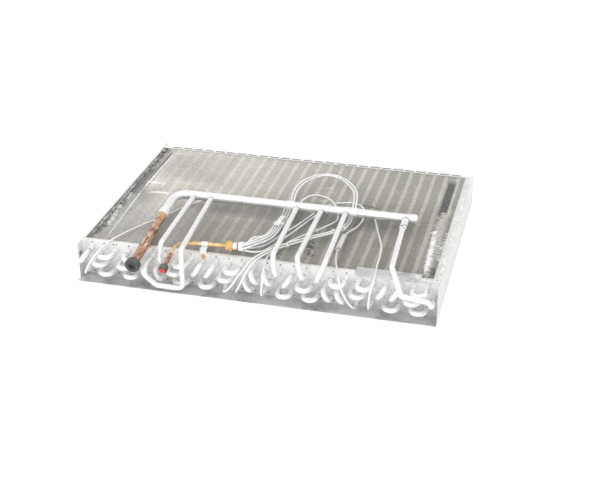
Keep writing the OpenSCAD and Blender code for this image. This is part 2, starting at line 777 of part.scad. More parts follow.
// Smooth curve through the points, then a tube of flat-sided rings along it
function curve_at(p, i, t) =
    let (
        n = len(p) - 1,
        a = p[max(0, i - 1)],
        b = p[i],
        c = p[min(n, i + 1)],
        d = p[min(n, i + 2)]
    )
    0.5 * ((2 * b) + (c - a) * t + (2 * a - 5 * b + 4 * c - d) * t * t + (3 * b - a - 3 * c + d) * t * t * t);
ring_step = 15;
function curve(p) = [
    for (i = [0:len(p) - 2])
        let (n = max(1, round(norm(p[i + 1] - p[i]) / ring_step)))
        each [for (k = [0:n - 1]) curve_at(p, i, k / n)],
    p[len(p) - 1]
];
function heading(c, i) = unit(c[min(len(c) - 1, i + 1)] - c[max(0, i - 1)]);
function carried(c, i, u) =
    let (d = heading(c, i), v = unit(u - d * (u * d)))
    i == len(c) - 1 ? [v] : concat([v], carried(c, i + 1, v));
feeder_sides = 8;

module feeder_solid(p) {
    c = curve(p);
    n = len(c);
    u = carried(c, 0, side_of(heading(c, 0)));
    points = [
        for (i = [0:n - 1], k = [0:feeder_sides - 1])
            let (w = cross(heading(c, i), u[i]), a = 360 * k / feeder_sides)
            c[i] + (u[i] * cos(a) + w * sin(a)) * (feeder_od / 2)
    ];
    function at(i, k) = i * feeder_sides + k % feeder_sides;
    faces = concat(
        [[for (k = [0:feeder_sides - 1]) k]],
        [for (i = [0:n - 2], k = [0:feeder_sides - 1]) each [
            [at(i, k), at(i + 1, k), at(i + 1, k + 1)],
            [at(i, k), at(i + 1, k + 1), at(i, k + 1)]
        ]],
        [[for (k = [feeder_sides - 1:-1:0]) at(n - 1, k)]]
    );
    polyhedron(points, faces);
}

module feeder(i) {
    color(aluminium) from_front() feeder_solid(feeder_points(i));
}

// Crimped ends that take each feeder into its tube
module feeder_ferrules() {
    grip = 6.2;
    color(aluminium) from_front() for (c = [0:5])
        translate([liquid_end(c)[0], -stub_len, liquid_end(c)[1]]) rotate([90, 0, 0]) rotate_extrude()
            polygon([
                [0, 0], [tube_od / 2, 0], [tube_od / 2, 3], [feeder_od / 2 + 1.3, ferrule_len],
                [feeder_od / 2 + 0.05, ferrule_len], [feeder_od / 2 + 0.05, ferrule_len - grip],
                [0, ferrule_len - grip]
            ]);
}

// Flat band round the four feeders that pass under the header together
module feeder_tie() {
    band = 1.4;
    room = 3.6;
    width = 12;
    left = feeder_routes[0][3];
    right = feeder_routes[3][3];
    module loop(grow) {
        for (p = [left, right]) translate([p[0], p[2]]) circle(r = room + grow);
        translate([left[0], left[2] - room - grow]) square([right[0] - left[0], 2 * (room + grow)]);
    }
    color([0.92, 0.92, 0.9]) from_front() translate([0, left[1] + width / 2, 0]) rotate([90, 0, 0])
        linear_extrude(width) difference() {
            loop(band);
            loop(0);
        }
}

// Short beads on single feeders: feeder, route point
bead_places = [[3, 16], [2, 19], [1, 18], [1, 22]];
bead_len = 7;
bead_od = 10;
bead_id = feeder_od + 1.4;

module tie_beads() {
    color([0.92, 0.92, 0.9]) from_front() for (b = bead_places) {
        r = feeder_routes[b[0]];
        d = unit(r[b[1] + 1] - r[b[1] - 1]);
        tube_length(r[b[1]] - d * bead_len / 2, r[b[1]] + d * bead_len / 2, bead_od, bead_id);
    }
}

module feeder_sleeve() {
    a = feeder_routes[4][14];
    b = feeder_routes[4][16];
    sleeve_od = 13;
    color([0.92, 0.92, 0.9]) from_front() tube_length(a, b, sleeve_od, feeder_od + 2.4);
}

// Strap that holds the distributor tube to the front sheet
clip_x = tube_x(top_row, 9);
clip_w = 16;
clip_t = 1.2;
clip_drop = 9;
clip_centre = distributor_at + along * ((clip_x - distributor_at[0]) / along[0]);

module tube_clip() {
    loop_r = liquid_od / 2 + 0.2;
    clip_low = top_z - clip_drop;
    clip_high = liquid_z - loop_r;
    color([0.93, 0.93, 0.92]) from_front() {
        difference() {
            union() {
                translate([clip_x - clip_w / 2, -clip_t, clip_low])
                    cube([clip_w, clip_t, clip_high - clip_low]);
                translate([clip_x - clip_w / 2, -clip_t, clip_high - clip_t])
                    cube([clip_w, clip_centre[1] + clip_t, clip_t]);
                translate(clip_centre) rotate([0, 0, distributor_turn]) rotate([0, 90, 0])
                    cylinder(r = loop_r + clip_t, h = clip_w - 1, center = true);
            }
            translate(clip_centre) rotate([0, 0, distributor_turn]) rotate([0, 90, 0])
                cylinder(r = loop_r, h = 2 * clip_w, center = true);
            translate([clip_x, 1, high_hole_z]) rotate([90, 0, 0]) cylinder(d = 4.2, h = 4);
        }
    }
}

module clip_screw() {
    head_d = 11;
    color(brass) from_front() translate([clip_x, -clip_t, high_hole_z]) rotate([90, 0, 0]) {
        translate([0, 0, -clip_t]) cylinder(d = 4, h = clip_t);
        difference() {
            cylinder(d1 = head_d, d2 = head_d - 3, h = 3.4);
            translate([-head_d, -0.6, 2]) cube([2 * head_d, 1.2, 2]);
        }
    }
}

// Galvanised angle over the right end of the front sheet's top edge
angle_left = 242;
angle_top_end = 396;
angle_t = 1.4;
angle_drop = 7;
angle_depth = 27;

module top_angle() {
    right = side_x - sheet_t - 1;
    color(galvanised) from_front() {
        translate([angle_left, -angle_t, top_z]) cube([angle_top_end - angle_left, angle_depth, angle_t]);
        translate([angle_left, -angle_t, top_z - angle_drop])
            cube([right - angle_left, angle_t, angle_drop]);
    }
}

// Small push-on clips on the right plate's lip and on the angle
module edge_clips() {
    size = [16, 9, 4];
    color([0.93, 0.92, 0.88]) from_front() {
        for (y = [186, 530])
            translate([side_x - right_lip - 1, y, top_z]) cube(size);
        translate([angle_top_end - 14, 4, top_z + angle_t]) cube([10, 10, 3]);
    }
}

base_sheet();
front_tube_sheet();
back_tube_sheet();
left_side_plate();
right_side_plate();
casing_rivets();
fin_pack();
hairpins(0);  // hairpins_1
hairpins(1);  // hairpins_2
hairpins(2);  // hairpins_3
hairpins(3);  // hairpins_4
hairpins(4);  // hairpins_5
hairpins(5);  // hairpins_6
return_bends(0);  // return_bends_1
return_bends(1);  // return_bends_2
return_bends(2);  // return_bends_3
return_bends(3);  // return_bends_4
return_bends(4);  // return_bends_5
return_bends(5);  // return_bends_6
suction_header();
header_end_cap();
header_sleeves();
suction_elbow();
suction_bell();
suction_stub();
suction_cap();
suction_branch(0);  // suction_branch_1
suction_branch(1);  // suction_branch_2
suction_branch(2);  // suction_branch_3
suction_branch(3);  // suction_branch_4
suction_branch(4);  // suction_branch_5
suction_branch(5);  // suction_branch_6
branch_socket();
liquid_tube();
liquid_cap();
liquid_plug();
liquid_link();
distributor_tube();
distributor_nut();
distributor_collar();
seal_ring();
fan_collar();
feeder(0);  // feeder_1
feeder(1);  // feeder_2
feeder(2);  // feeder_3
feeder(3);  // feeder_4
feeder(4);  // feeder_5
feeder(5);  // feeder_6
feeder_ferrules();
feeder_tie();
tie_beads();
feeder_sleeve();
tube_clip();
clip_screw();
top_angle();
edge_clips();
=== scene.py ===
import math
import bpy
import bmesh
import numpy as np
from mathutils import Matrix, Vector


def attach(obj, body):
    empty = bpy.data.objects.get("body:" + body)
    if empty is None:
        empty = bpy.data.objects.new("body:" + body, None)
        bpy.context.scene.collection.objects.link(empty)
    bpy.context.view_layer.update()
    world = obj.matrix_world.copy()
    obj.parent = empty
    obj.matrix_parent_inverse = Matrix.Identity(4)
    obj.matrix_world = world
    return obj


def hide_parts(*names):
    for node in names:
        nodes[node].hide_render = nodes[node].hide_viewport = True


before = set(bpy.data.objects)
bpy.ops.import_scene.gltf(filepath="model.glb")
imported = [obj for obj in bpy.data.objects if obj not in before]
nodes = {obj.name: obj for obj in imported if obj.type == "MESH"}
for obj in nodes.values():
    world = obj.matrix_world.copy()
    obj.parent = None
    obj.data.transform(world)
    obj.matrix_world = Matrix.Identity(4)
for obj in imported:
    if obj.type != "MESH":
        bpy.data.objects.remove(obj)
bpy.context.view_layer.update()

coil = {
    "pitch": 31.75,  # between tube columns, in mm
    "columns": 27,  # in the top and bottom row, and one more in the middle row
    "rows": (76, 53, 30),  # heights of the tube rows
    "frontY": -290.0,  # outer face of the front sheet
    "finTop": 87.5,
    "finLow": 18.5,
    "finHalf": 437.0,  # half the length of a fin
}


def toScene(p):
    # millimetres from the front sheet to metres in the frame
    return Vector((p[0] / 1000, (p[1] + coil["frontY"]) / 1000, p[2] / 1000))


def meshPiece(name, verts, faces, smooth=True):
    mesh = bpy.data.meshes.new(name)
    mesh.from_pydata(verts, [], faces)
    mesh.validate()
    mesh.polygons.foreach_set("use_smooth", [smooth] * len(mesh.polygons))
    piece = bpy.data.objects.new(name, mesh)
    bpy.context.scene.collection.objects.link(piece)
    return piece


def ringFaces(rings, sides, closed):
    # the walls between rings of points, and the faces at both ends if it is closed
    faces = [
        (k * sides + a, k * sides + (a + 1) % sides, (k + 1) * sides + (a + 1) % sides, (k + 1) * sides + a)
        for k in range(rings - 1) for a in range(sides)
    ]
    if closed:
        faces += [tuple(range(sides))[::-1], tuple((rings - 1) * sides + a for a in range(sides))]
    return faces


# shader groups
vectorKind = "NodeSocketVector"
numberKind = "NodeSocketFloat"


def newGroup(name, inputs, outputs):
    group = bpy.data.node_groups.new(name, "ShaderNodeTree")
    for label, kind, value in inputs:
        socket = group.interface.new_socket(label, in_out="INPUT", socket_type=kind)
        if value is not None:
            socket.default_value = value
    for label, kind in outputs:
        group.interface.new_socket(label, in_out="OUTPUT", socket_type=kind)
    return group, group.nodes.new("NodeGroupInput").outputs, group.nodes.new("NodeGroupOutput").inputs


def addNode(tree, kind, links=None, **values):
    # values are the node's own settings, links its inputs: a socket is linked, anything else is set
    node = tree.nodes.new(kind)
    for key, value in values.items():
        setattr(node, key, value)
    for key, source in (links or {}).items():
        socket = node.inputs[key]
        if isinstance(source, bpy.types.NodeSocket):
            tree.links.new(source, socket)
        else:
            socket.default_value = source
    return node


def mathNode(tree, operation, a, b=0.0, c=0.0, clamp=False):
    links = {0: a, 1: b, 2: c}
    return addNode(tree, "ShaderNodeMath", links, operation=operation, use_clamp=clamp).outputs[0]


def vectorNode(tree, operation, a, b=(0.0, 0.0, 0.0), output="Vector"):
    return addNode(tree, "ShaderNodeVectorMath", {0: a, 1: b}, operation=operation).outputs[output]


def rangeNode(tree, value, low, high, toLow=0.0, toHigh=1.0):
    links = {"Value": value, "From Min": low, "From Max": high, "To Min": toLow, "To Max": toHigh}
    return addNode(tree, "ShaderNodeMapRange", links).outputs["Result"]


def noiseNode(tree, vector, scale, detail, rough=0.5):
    links = {"Vector": vector, "Scale": scale, "Detail": detail, "Roughness": rough}
    return addNode(tree, "ShaderNodeTexNoise", links).outputs["Fac"]


def splitNode(tree, vector):
    return addNode(tree, "ShaderNodeSeparateXYZ", {0: vector}).outputs


def greyNode(tree, value):
    return addNode(tree, "ShaderNodeCombineColor", {0: value, 1: value, 2: value}).outputs[0]


def smudgeGroup():
    # soft blotches of two sizes, as a mask from 0 to 1
    group, given, made = newGroup(
        "smudges",
        [("Vector", vectorKind, None), ("Scale", numberKind, 12.0), ("Cover", numberKind, 0.5)],
        [("Mask", numberKind), ("Fine", numberKind)],
    )
    wide = noiseNode(group, given["Vector"], given["Scale"], 4.0)
    fineScale = mathNode(group, "MULTIPLY", given["Scale"], 7.0)
    fine = noiseNode(group, given["Vector"], fineScale, 3.0)
    mixed = mathNode(group, "MULTIPLY_ADD", wide, 0.75, mathNode(group, "MULTIPLY", fine, 0.25))
    edge = mathNode(group, "SUBTRACT", 0.72, mathNode(group, "MULTIPLY", given["Cover"], 0.4))
    low = mathNode(group, "SUBTRACT", edge, 0.08)
    high = mathNode(group, "ADD", edge, 0.08)
    group.links.new(rangeNode(group, mixed, low, high), made["Mask"])
    group.links.new(fine, made["Fine"])
    return group


def rolledGroup():
    # fine lines along one direction, as a height
    group, given, made = newGroup(
        "rolledLines",
        [
            ("Vector", vectorKind, None), ("Stretch", vectorKind, (1.0, 60.0, 60.0)),
            ("Scale", numberKind, 20.0),
        ],
        [("Height", numberKind)],
    )
    stretched = vectorNode(group, "MULTIPLY", given["Vector"], given["Stretch"])
    group.links.new(noiseNode(group, stretched, given["Scale"], 2.0), made["Height"])
    return group


def dustGroup():
    # dust that settles on faces turned up
    group, given, made = newGroup(
        "settledDust",
        [("Vector", vectorKind, None), ("Scale", numberKind, 60.0), ("Amount", numberKind, 0.3)],
        [("Mask", numberKind)],
    )
    normal = addNode(group, "ShaderNodeNewGeometry").outputs["Normal"]
    patchy = rangeNode(group, noiseNode(group, given["Vector"], given["Scale"], 5.0), 0.35, 0.7)
    lying = rangeNode(group, splitNode(group, normal)["Z"], 0.1, 0.95)
    settled = mathNode(group, "MULTIPLY", patchy, lying)
    group.links.new(mathNode(group, "MULTIPLY", settled, given["Amount"], clamp=True), made["Mask"])
    return group


def patchGroup():
    # a soft-edged strip at a place on the fins: 1 inside it, 0 outside
    group, given, made = newGroup(
        "patch",
        [
            ("Vector", vectorKind, None), ("Place", vectorKind, (0.0, 0.0, 0.0)),
            ("Half", vectorKind, (0.01, 0.01, 1.0)), ("Turn", numberKind, 0.0), ("Ragged", numberKind, 0.2),
        ],
        [("Mask", numberKind)],
    )
    moved = vectorNode(group, "SUBTRACT", given["Vector"], given["Place"])
    links = {"Vector": moved, "Angle": given["Turn"]}
    turned = addNode(group, "ShaderNodeVectorRotate", links, rotation_type="Z_AXIS").outputs[0]
    scaled = vectorNode(group, "DIVIDE", turned, given["Half"])
    way = splitNode(group, vectorNode(group, "ABSOLUTE", scaled))
    far = mathNode(group, "MAXIMUM", way["X"], way["Y"])
    grain = mathNode(group, "SUBTRACT", noiseNode(group, given["Vector"], 170.0, 3.0), 0.5)
    torn = mathNode(group, "MULTIPLY", grain, mathNode(group, "MULTIPLY", given["Ragged"], 4.0))
    group.links.new(rangeNode(group, mathNode(group, "ADD", far, torn), 0.8, 1.05, 1.0, 0.0), made["Mask"])
    return group


smudges = smudgeGroup()
rolled = rolledGroup()
dust = dustGroup()
patch = patchGroup()
print("shader groups ready")

dustScale = 60.0
dustColour = (0.5, 0.48, 0.44)
paleDust = (0.5, 0.48, 0.45)  # on rubber and plastic


def place(tree, group, vector, **values):
    node = tree.nodes.new("ShaderNodeGroup")
    node.node_tree = group
    tree.links.new(vector, node.inputs["Vector"])
    for key, value in values.items():
        node.inputs[key].default_value = value
    return node.outputs


def mixColour(tree, factor, a, b, blend="MIX"):
    node = addNode(tree, "ShaderNodeMix", data_type="RGBA", blend_type=blend)
    for socket, source in ((node.inputs[0], factor), (node.inputs[6], a), (node.inputs[7], b)):
        if isinstance(source, bpy.types.NodeSocket):
            tree.links.new(source, socket)
        else:
            socket.default_value = source if isinstance(source, float) else (*source, 1.0)
    return node.outputs[2]


def startMaterial(name, metallic, roughness):
    material = bpy.data.materials.new(name)
    material.use_nodes = True
    tree = material.node_tree
    shader = tree.nodes["Principled BSDF"]
    shader.inputs["Metallic"].default_value = metallic
    shader.inputs["Roughness"].default_value = roughness
    vector = tree.nodes.new("ShaderNodeTexCoord").outputs["Object"]
    return material, tree, shader, vector


def setBump(tree, shader, height, strength, distance):
    bump = addNode(tree, "ShaderNodeBump", {"Height": height, "Strength": strength, "Distance": distance})
    tree.links.new(bump.outputs["Normal"], shader.inputs["Normal"])


def metalSkin(name, look):
    # bare metal: base colour, stained patches, drawn or rolled lines, settled dust
    material, tree, shader, vector = startMaterial(name, look["metallic"], look["roughness"])
    stain = place(tree, smudges, vector, Scale=look["stainScale"], Cover=look["stainCover"])
    lines = place(tree, rolled, vector, Stretch=look["lineStretch"], Scale=look["lineScale"])["Height"]
    colour = mixColour(tree, stain["Mask"], look["colour"], look["stainColour"])
    lineTone = rangeNode(tree, lines, 0.3, 0.7, 1.0 - look["lineTone"], 1.0)
    colour = mixColour(tree, 1.0, colour, greyNode(tree, lineTone), "MULTIPLY")
    dirt = place(tree, dust, vector, Scale=dustScale, Amount=look["dust"])["Mask"]
    colour = mixColour(tree, dirt, colour, dustColour)
    if "flangeReflection" in look:
        # painted reflection of the fins on the top flange, behind the front edge; the bare strip in front of
        # it is a painted highlight on the bent corner
        at = splitNode(tree, vector)
        deep = rangeNode(tree, at["Y"], *look["edgeY"])
        high = rangeNode(tree, at["Z"], *look["edgeZ"])
        patchy = rangeNode(tree, stain["Fine"], 0.25, 0.6, 0.45, 1.0)
        mask = mathNode(tree, "MULTIPLY", mathNode(tree, "MULTIPLY", deep, high), patchy, clamp=True)
        colour = mixColour(tree, mathNode(tree, "MULTIPLY", mask, 0.7), colour, look["flangeReflection"])
    if "foot" in look:
        # painted shade: darker towards the bottom edge, where the bends and the base sheet close in
        low = rangeNode(tree, splitNode(tree, vector)["Z"], *look["footShadeZ"])
        patchy = rangeNode(tree, stain["Fine"], 0.2, 0.6, 0.3, 0.75)
        colour = mixColour(tree, mathNode(tree, "MULTIPLY", low, patchy), colour, look["foot"])
    for x, y, z, radius, shade, strength in look.get("spots", ()):
        away = vectorNode(tree, "DISTANCE", vector, tuple(toScene((x, y, z))), "Value")
        uneven = rangeNode(tree, stain["Fine"], 0.2, 0.8, 0.0, radius * 0.0006)
        reach = mathNode(tree, "ADD", away, uneven)
        mask = rangeNode(tree, reach, radius * 0.0009, radius * 0.0014, strength, 0.0)
        colour = mixColour(tree, mask, colour, shade)
    tree.links.new(colour, shader.inputs["Base Color"])
    smooth, vary = look["roughness"], look["roughVary"]
    rough = rangeNode(tree, stain["Fine"], 0.3, 0.7, smooth - vary, smooth + vary)
    tree.links.new(mathNode(tree, "MULTIPLY_ADD", dirt, 0.4, rough, clamp=True), shader.inputs["Roughness"])
    setBump(tree, shader, lines, look["bump"], 0.0004)
    return material


sheetLook = {
    "colour": (0.95, 0.95, 0.94), "stainColour": (0.78, 0.775, 0.76), "roughness": 0.42, "roughVary": 0.1,
    "metallic": 0.2, "stainScale": 22.0, "stainCover": 0.45, "lineStretch": (1.0, 40.0, 40.0),
    "lineScale": 30.0, "lineTone": 0.07, "bump": 0.2, "dust": 0.15,
}
# front sheet: a painted reflection of the fins on the top flange, with a painted highlight on its bent
# corner
frontLook = dict(
    sheetLook, flangeReflection=(0.68, 0.64, 0.57), edgeY=(-0.2845, -0.2815), edgeZ=(0.0916, 0.0919),  # in metres
    # painted shade towards the bottom edge
    foot=(0.46, 0.45, 0.43), footShadeZ=(0.05, 0.012),
)
# spots: x, y, z, radius, colour, strength
leftLook = dict(
    sheetLook, colour=(0.84, 0.84, 0.83), spots=[(-440.0, -14.0, 62.0, 7.0, (0.30, 0.16, 0.10), 0.9)],
)
rightLook = dict(
    sheetLook, colour=(0.78, 0.775, 0.76), stainColour=(0.68, 0.675, 0.66), stainCover=0.4, stainScale=34.0,
)
backLook = dict(
    sheetLook, colour=(0.93, 0.93, 0.925), stainColour=(0.80, 0.80, 0.79), stainCover=0.25, dust=0.05,
)
tubeLook = {
    "colour": (0.93, 0.93, 0.93), "stainColour": (0.74, 0.735, 0.72), "roughness": 0.3, "roughVary": 0.05,
    "metallic": 0.4, "stainScale": 30.0, "stainCover": 0.25, "lineStretch": (1.0, 1.0, 1.0),
    "lineScale": 90.0, "lineTone": 0.05, "bump": 0.02, "dust": 0.1,
}
manifoldLook = dict(
    tubeLook, stainColour=(0.86, 0.855, 0.84), stainScale=16.0, stainCover=0.3, lineScale=60.0, bump=0.0,
)
socketLook = dict(manifoldLook, spots=[
    (318.5, 178.0, 133.0, 4.2, (0.10, 0.13, 0.62), 0.95),
    (326.0, 186.0, 131.0, 4.5, (0.40, 0.36, 0.24), 0.85),
    (325.0, 172.0, 132.0, 3.4, (0.24, 0.22, 0.19), 0.7),
])
foilLook = dict(tubeLook, colour=(0.95, 0.945, 0.93), roughness=0.4, dust=0.0)
brazeLook = dict(
    tubeLook, colour=(0.72, 0.72, 0.70), stainColour=(0.40, 0.38, 0.35), roughness=0.45, stainScale=60.0,
    stainCover=0.5,
)
# the stained patches on the base sheet are partly real stain and partly painted reflection
galvanisedLook = {
    "colour": (0.76, 0.765, 0.77), "stainColour": (0.46, 0.465, 0.47), "roughness": 0.38, "roughVary": 0.1,
    "metallic": 0.4, "stainScale": 20.0, "stainCover": 0.4, "lineStretch": (1.0, 1.0, 1.0),
    "lineScale": 55.0, "lineTone": 0.12, "bump": 0.1, "dust": 0.1,
}
brassLook = {
    "colour": (0.84, 0.62, 0.31), "stainColour": (0.60, 0.38, 0.16), "roughness": 0.34, "roughVary": 0.08,
    "metallic": 0.75, "stainScale": 90.0, "stainCover": 0.4, "lineStretch": (1.0, 25.0, 25.0),
    "lineScale": 120.0, "lineTone": 0.12, "bump": 0.15, "dust": 0.1,
}
copperLook = {
    "colour": (0.62, 0.30, 0.20), "stainColour": (0.20, 0.08, 0.06), "roughness": 0.36, "roughVary": 0.1,
    "metallic": 0.7, "stainScale": 110.0, "stainCover": 0.55, "lineStretch": (20.0, 1.0, 20.0),
    "lineScale": 60.0, "lineTone": 0.2, "bump": 0.15, "dust": 0.08,
}

casingMetal = metalSkin("casingSheet", sheetLook)
frontMetal = metalSkin("frontSheet", frontLook)
plateMetal = metalSkin("leftPlate", leftLook)
rightMetal = metalSkin("rightPlateSheet", rightLook)
backMetal = metalSkin("backSheet", backLook)
galvanised = metalSkin("zincSheet", galvanisedLook)
tubeMetal = metalSkin("brightTube", tubeLook)
manifoldMetal = metalSkin("headerTube", manifoldLook)
socketMetal = metalSkin("socketTube", socketLook)
brazeMetal = metalSkin("brazeGrey", brazeLook)
bentFoil = metalSkin("bentFoil", foilLook)
brass = metalSkin("turnedBrass", brassLook)
nutBrass = metalSkin("nutBrass", dict(brassLook, colour=(0.76, 0.50, 0.22), stainColour=(0.45, 0.26, 0.10)))
screwBrass = metalSkin("screwBrass", dict(brassLook, colour=(0.95, 0.62, 0.28), metallic=0.5))
darkCopper = metalSkin("redCopper", copperLook)

stubLook = {
    "streak": (1.0, 0.14, 1.0),  # the streaks run along y
    "streakScale": 330.0,
    # the palest tones stand partly for a painted highlight along the stub
    "tones": [
        (0.0, (0.17, 0.10, 0.08)), (0.28, (0.32, 0.18, 0.13)), (0.5, (0.47, 0.27, 0.19)),
        (0.68, (0.62, 0.36, 0.22)), (0.84, (0.74, 0.54, 0.40)), (1.0, (0.88, 0.77, 0.66)),
    ],
    "goldY": (-0.170, -0.148),  # where the golden end begins and is full, in metres
    "gold": ((0.86, 0.62, 0.30), (0.62, 0.28, 0.13)),
}


def stubSkin(look):
    # copper with streaks along it, whose palest tones are partly a painted highlight, and a golden end
    # beside the joint
    material, tree, shader, vector = startMaterial("heatedCopper", 0.55, 0.34)
    stretched = vectorNode(tree, "MULTIPLY", vector, look["streak"])
    streak = noiseNode(tree, stretched, look["streakScale"], 3.0, 0.6)
    ramp = addNode(tree, "ShaderNodeValToRGB", {0: rangeNode(tree, streak, 0.33, 0.67)})
    elements = ramp.color_ramp.elements
    for k, (at, colour) in enumerate(look["tones"]):
        element = elements[k] if k < 2 else elements.new(at)
        element.position = at
        element.color = (*colour, 1.0)
    wobble = noiseNode(tree, vector, 60.0, 4.0)
    shifted = mathNode(tree, "MULTIPLY_ADD", wobble, 0.05, splitNode(tree, vector)["Y"])
    golden = rangeNode(tree, shifted, *look["goldY"])
    gold = mixColour(tree, rangeNode(tree, wobble, 0.4, 0.6), *look["gold"])
    tree.links.new(mixColour(tree, golden, ramp.outputs["Color"], gold), shader.inputs["Base Color"])
    tree.links.new(rangeNode(tree, wobble, 0.3, 0.7, 0.26, 0.46), shader.inputs["Roughness"])
    setBump(tree, shader, streak, 0.15, 0.0004)
    return material


def plainSkin(name, colour, shade, roughness, grain, depth, dusty=0.2):
    # plastic, rubber or coated metal: two close tones, fine grain, some dust
    material, tree, shader, vector = startMaterial(name, 0.0, roughness)
    tone = place(tree, smudges, vector, Scale=grain / 8, Cover=0.5)
    base = mixColour(tree, tone["Mask"], colour, shade)
    dirt = place(tree, dust, vector, Scale=grain / 3, Amount=dusty)["Mask"]
    tree.links.new(mixColour(tree, dirt, base, paleDust), shader.inputs["Base Color"])
    rough = rangeNode(tree, tone["Fine"], 0.3, 0.7, roughness - 0.08, roughness + 0.08)
    tree.links.new(rough, shader.inputs["Roughness"])
    setBump(tree, shader, noiseNode(tree, vector, grain, 3.0), 0.3, depth)
    return material


heatedCopper = stubSkin(stubLook)
blackRubber = plainSkin("blackRubber", (0.05, 0.05, 0.052), (0.075, 0.073, 0.072), 0.5, 700.0, 0.0002, 0.15)
greyRubber = plainSkin("greyRubber", (0.06, 0.06, 0.065), (0.11, 0.11, 0.11), 0.5, 700.0, 0.0002)
redPlastic = plainSkin("redPlastic", (0.80, 0.045, 0.035), (0.62, 0.03, 0.025), 0.35, 500.0, 0.0001, 0.05)
# black for the discs of painted shade behind the small holes
holeShadeBlack = plainSkin("holeShadeBlack", (0.012, 0.012, 0.012), (0.02, 0.02, 0.02), 0.8, 400.0, 0.0001, 0.0)
sealRed = plainSkin("sealRed", (0.26, 0.04, 0.04), (0.14, 0.02, 0.02), 0.5, 500.0, 0.0001)
whitePlastic = plainSkin("whitePlastic", (0.86, 0.86, 0.84), (0.74, 0.73, 0.70), 0.45, 500.0, 0.0001, 0.1)
paleMetal = plainSkin("paleMetal", (0.92, 0.92, 0.91), (0.80, 0.80, 0.78), 0.4, 260.0, 0.0002, 0.12)

finLook = {
    # average tones at the left and right end, behind and in front of the header
    "back": ((0.79, 0.762, 0.703), (0.51, 0.503, 0.457)),
    "front": ((0.53, 0.511, 0.472), (0.43, 0.412, 0.376)),
    "stripe": (1.12, 1.36),  # how much brighter the bands are, at the left and right end
    "phase": 99.70,  # where the bands lie between the columns
    "turnY": 330,  # where the tone changes over the tubes, and how it slants at the left
    "slant": 0.55,
    # marks of painted shade (crushed gaps, under the header, under the back flange) and painted light (bent
    # fin edges, the front left): x, y, half width, half length, turn, shade, strength, raggedness
    "shadeAndLightMarks": [
        (-409, 360, 8.5, 92, 0.0, 0.27, 0.8, 0.3), (-404, 495, 4.5, 52, -0.7, 0.2, 0.9, 0.2),
        (-408, 190, 9, 80, 2.5, 0.40, 0.5, 0.4), (-390, 190, 42, 150, 0.0, 0.40, 0.5, 0.1),
        (-384, 225, 14, 80, 0.0, 0.34, 0.4, 0.2), (-415, 420, 22, 150, 0.0, 0.34, 0.55, 0.2),
        (60, 246, 270, 36, 0.0, 0.30, 0.35, 0.05), (-399.5, 428, 2.4, 118, -0.74, 1.0, 1.0, 0.1),
        (-395, 174, 1.8, 138, 2.5, 0.98, 0.9, 0.25), (-378, 354.5, 26, 3.6, 0.0, 1.0, 1.0, 0.5),
        (-386, 354, 7, 7, 0.0, 1.0, 0.9, 0.5), (-350, 298.7, 27, 6.5, 0.0, 1.0, 1.0, 0.6),
        (-366, 545, 32, 4, 2.0, 1.0, 0.8, 0.6), (-432, 280, 5, 275, 1.0, 0.20, 0.45, 0.7),
        (-290, 110, 100, 110, -4.0, 0.66, 0.4, 0.12), (-300, 470, 100, 90, 0.0, 0.46, 0.3, 0.12),
        (393, 440, 11, 103, 0.0, 0.15, 0.9, 0.08), (392.5, 139, 2.4, 105, 3.0, 0.98, 1.0, 0.3),
        (421, 49, 14, 24, 0.0, 0.14, 0.6, 0.5), (212, 346, 22, 6, 0.0, 0.16, 0.8, 0.6),
        (47, 46, 8, 11, 10.0, 0.12, 0.85, 0.8), (114, 90, 9, 32, 10.0, 0.14, 0.75, 0.9),
        (80, 428, 8, 1.8, 20.0, 1.0, 0.9, 0.3), (84, 350, 9, 3, 15.0, 0.9, 0.7, 0.6),
        (0, 574, 440, 6, 0.0, 0.22, 0.9, 0.0),
    ],
}


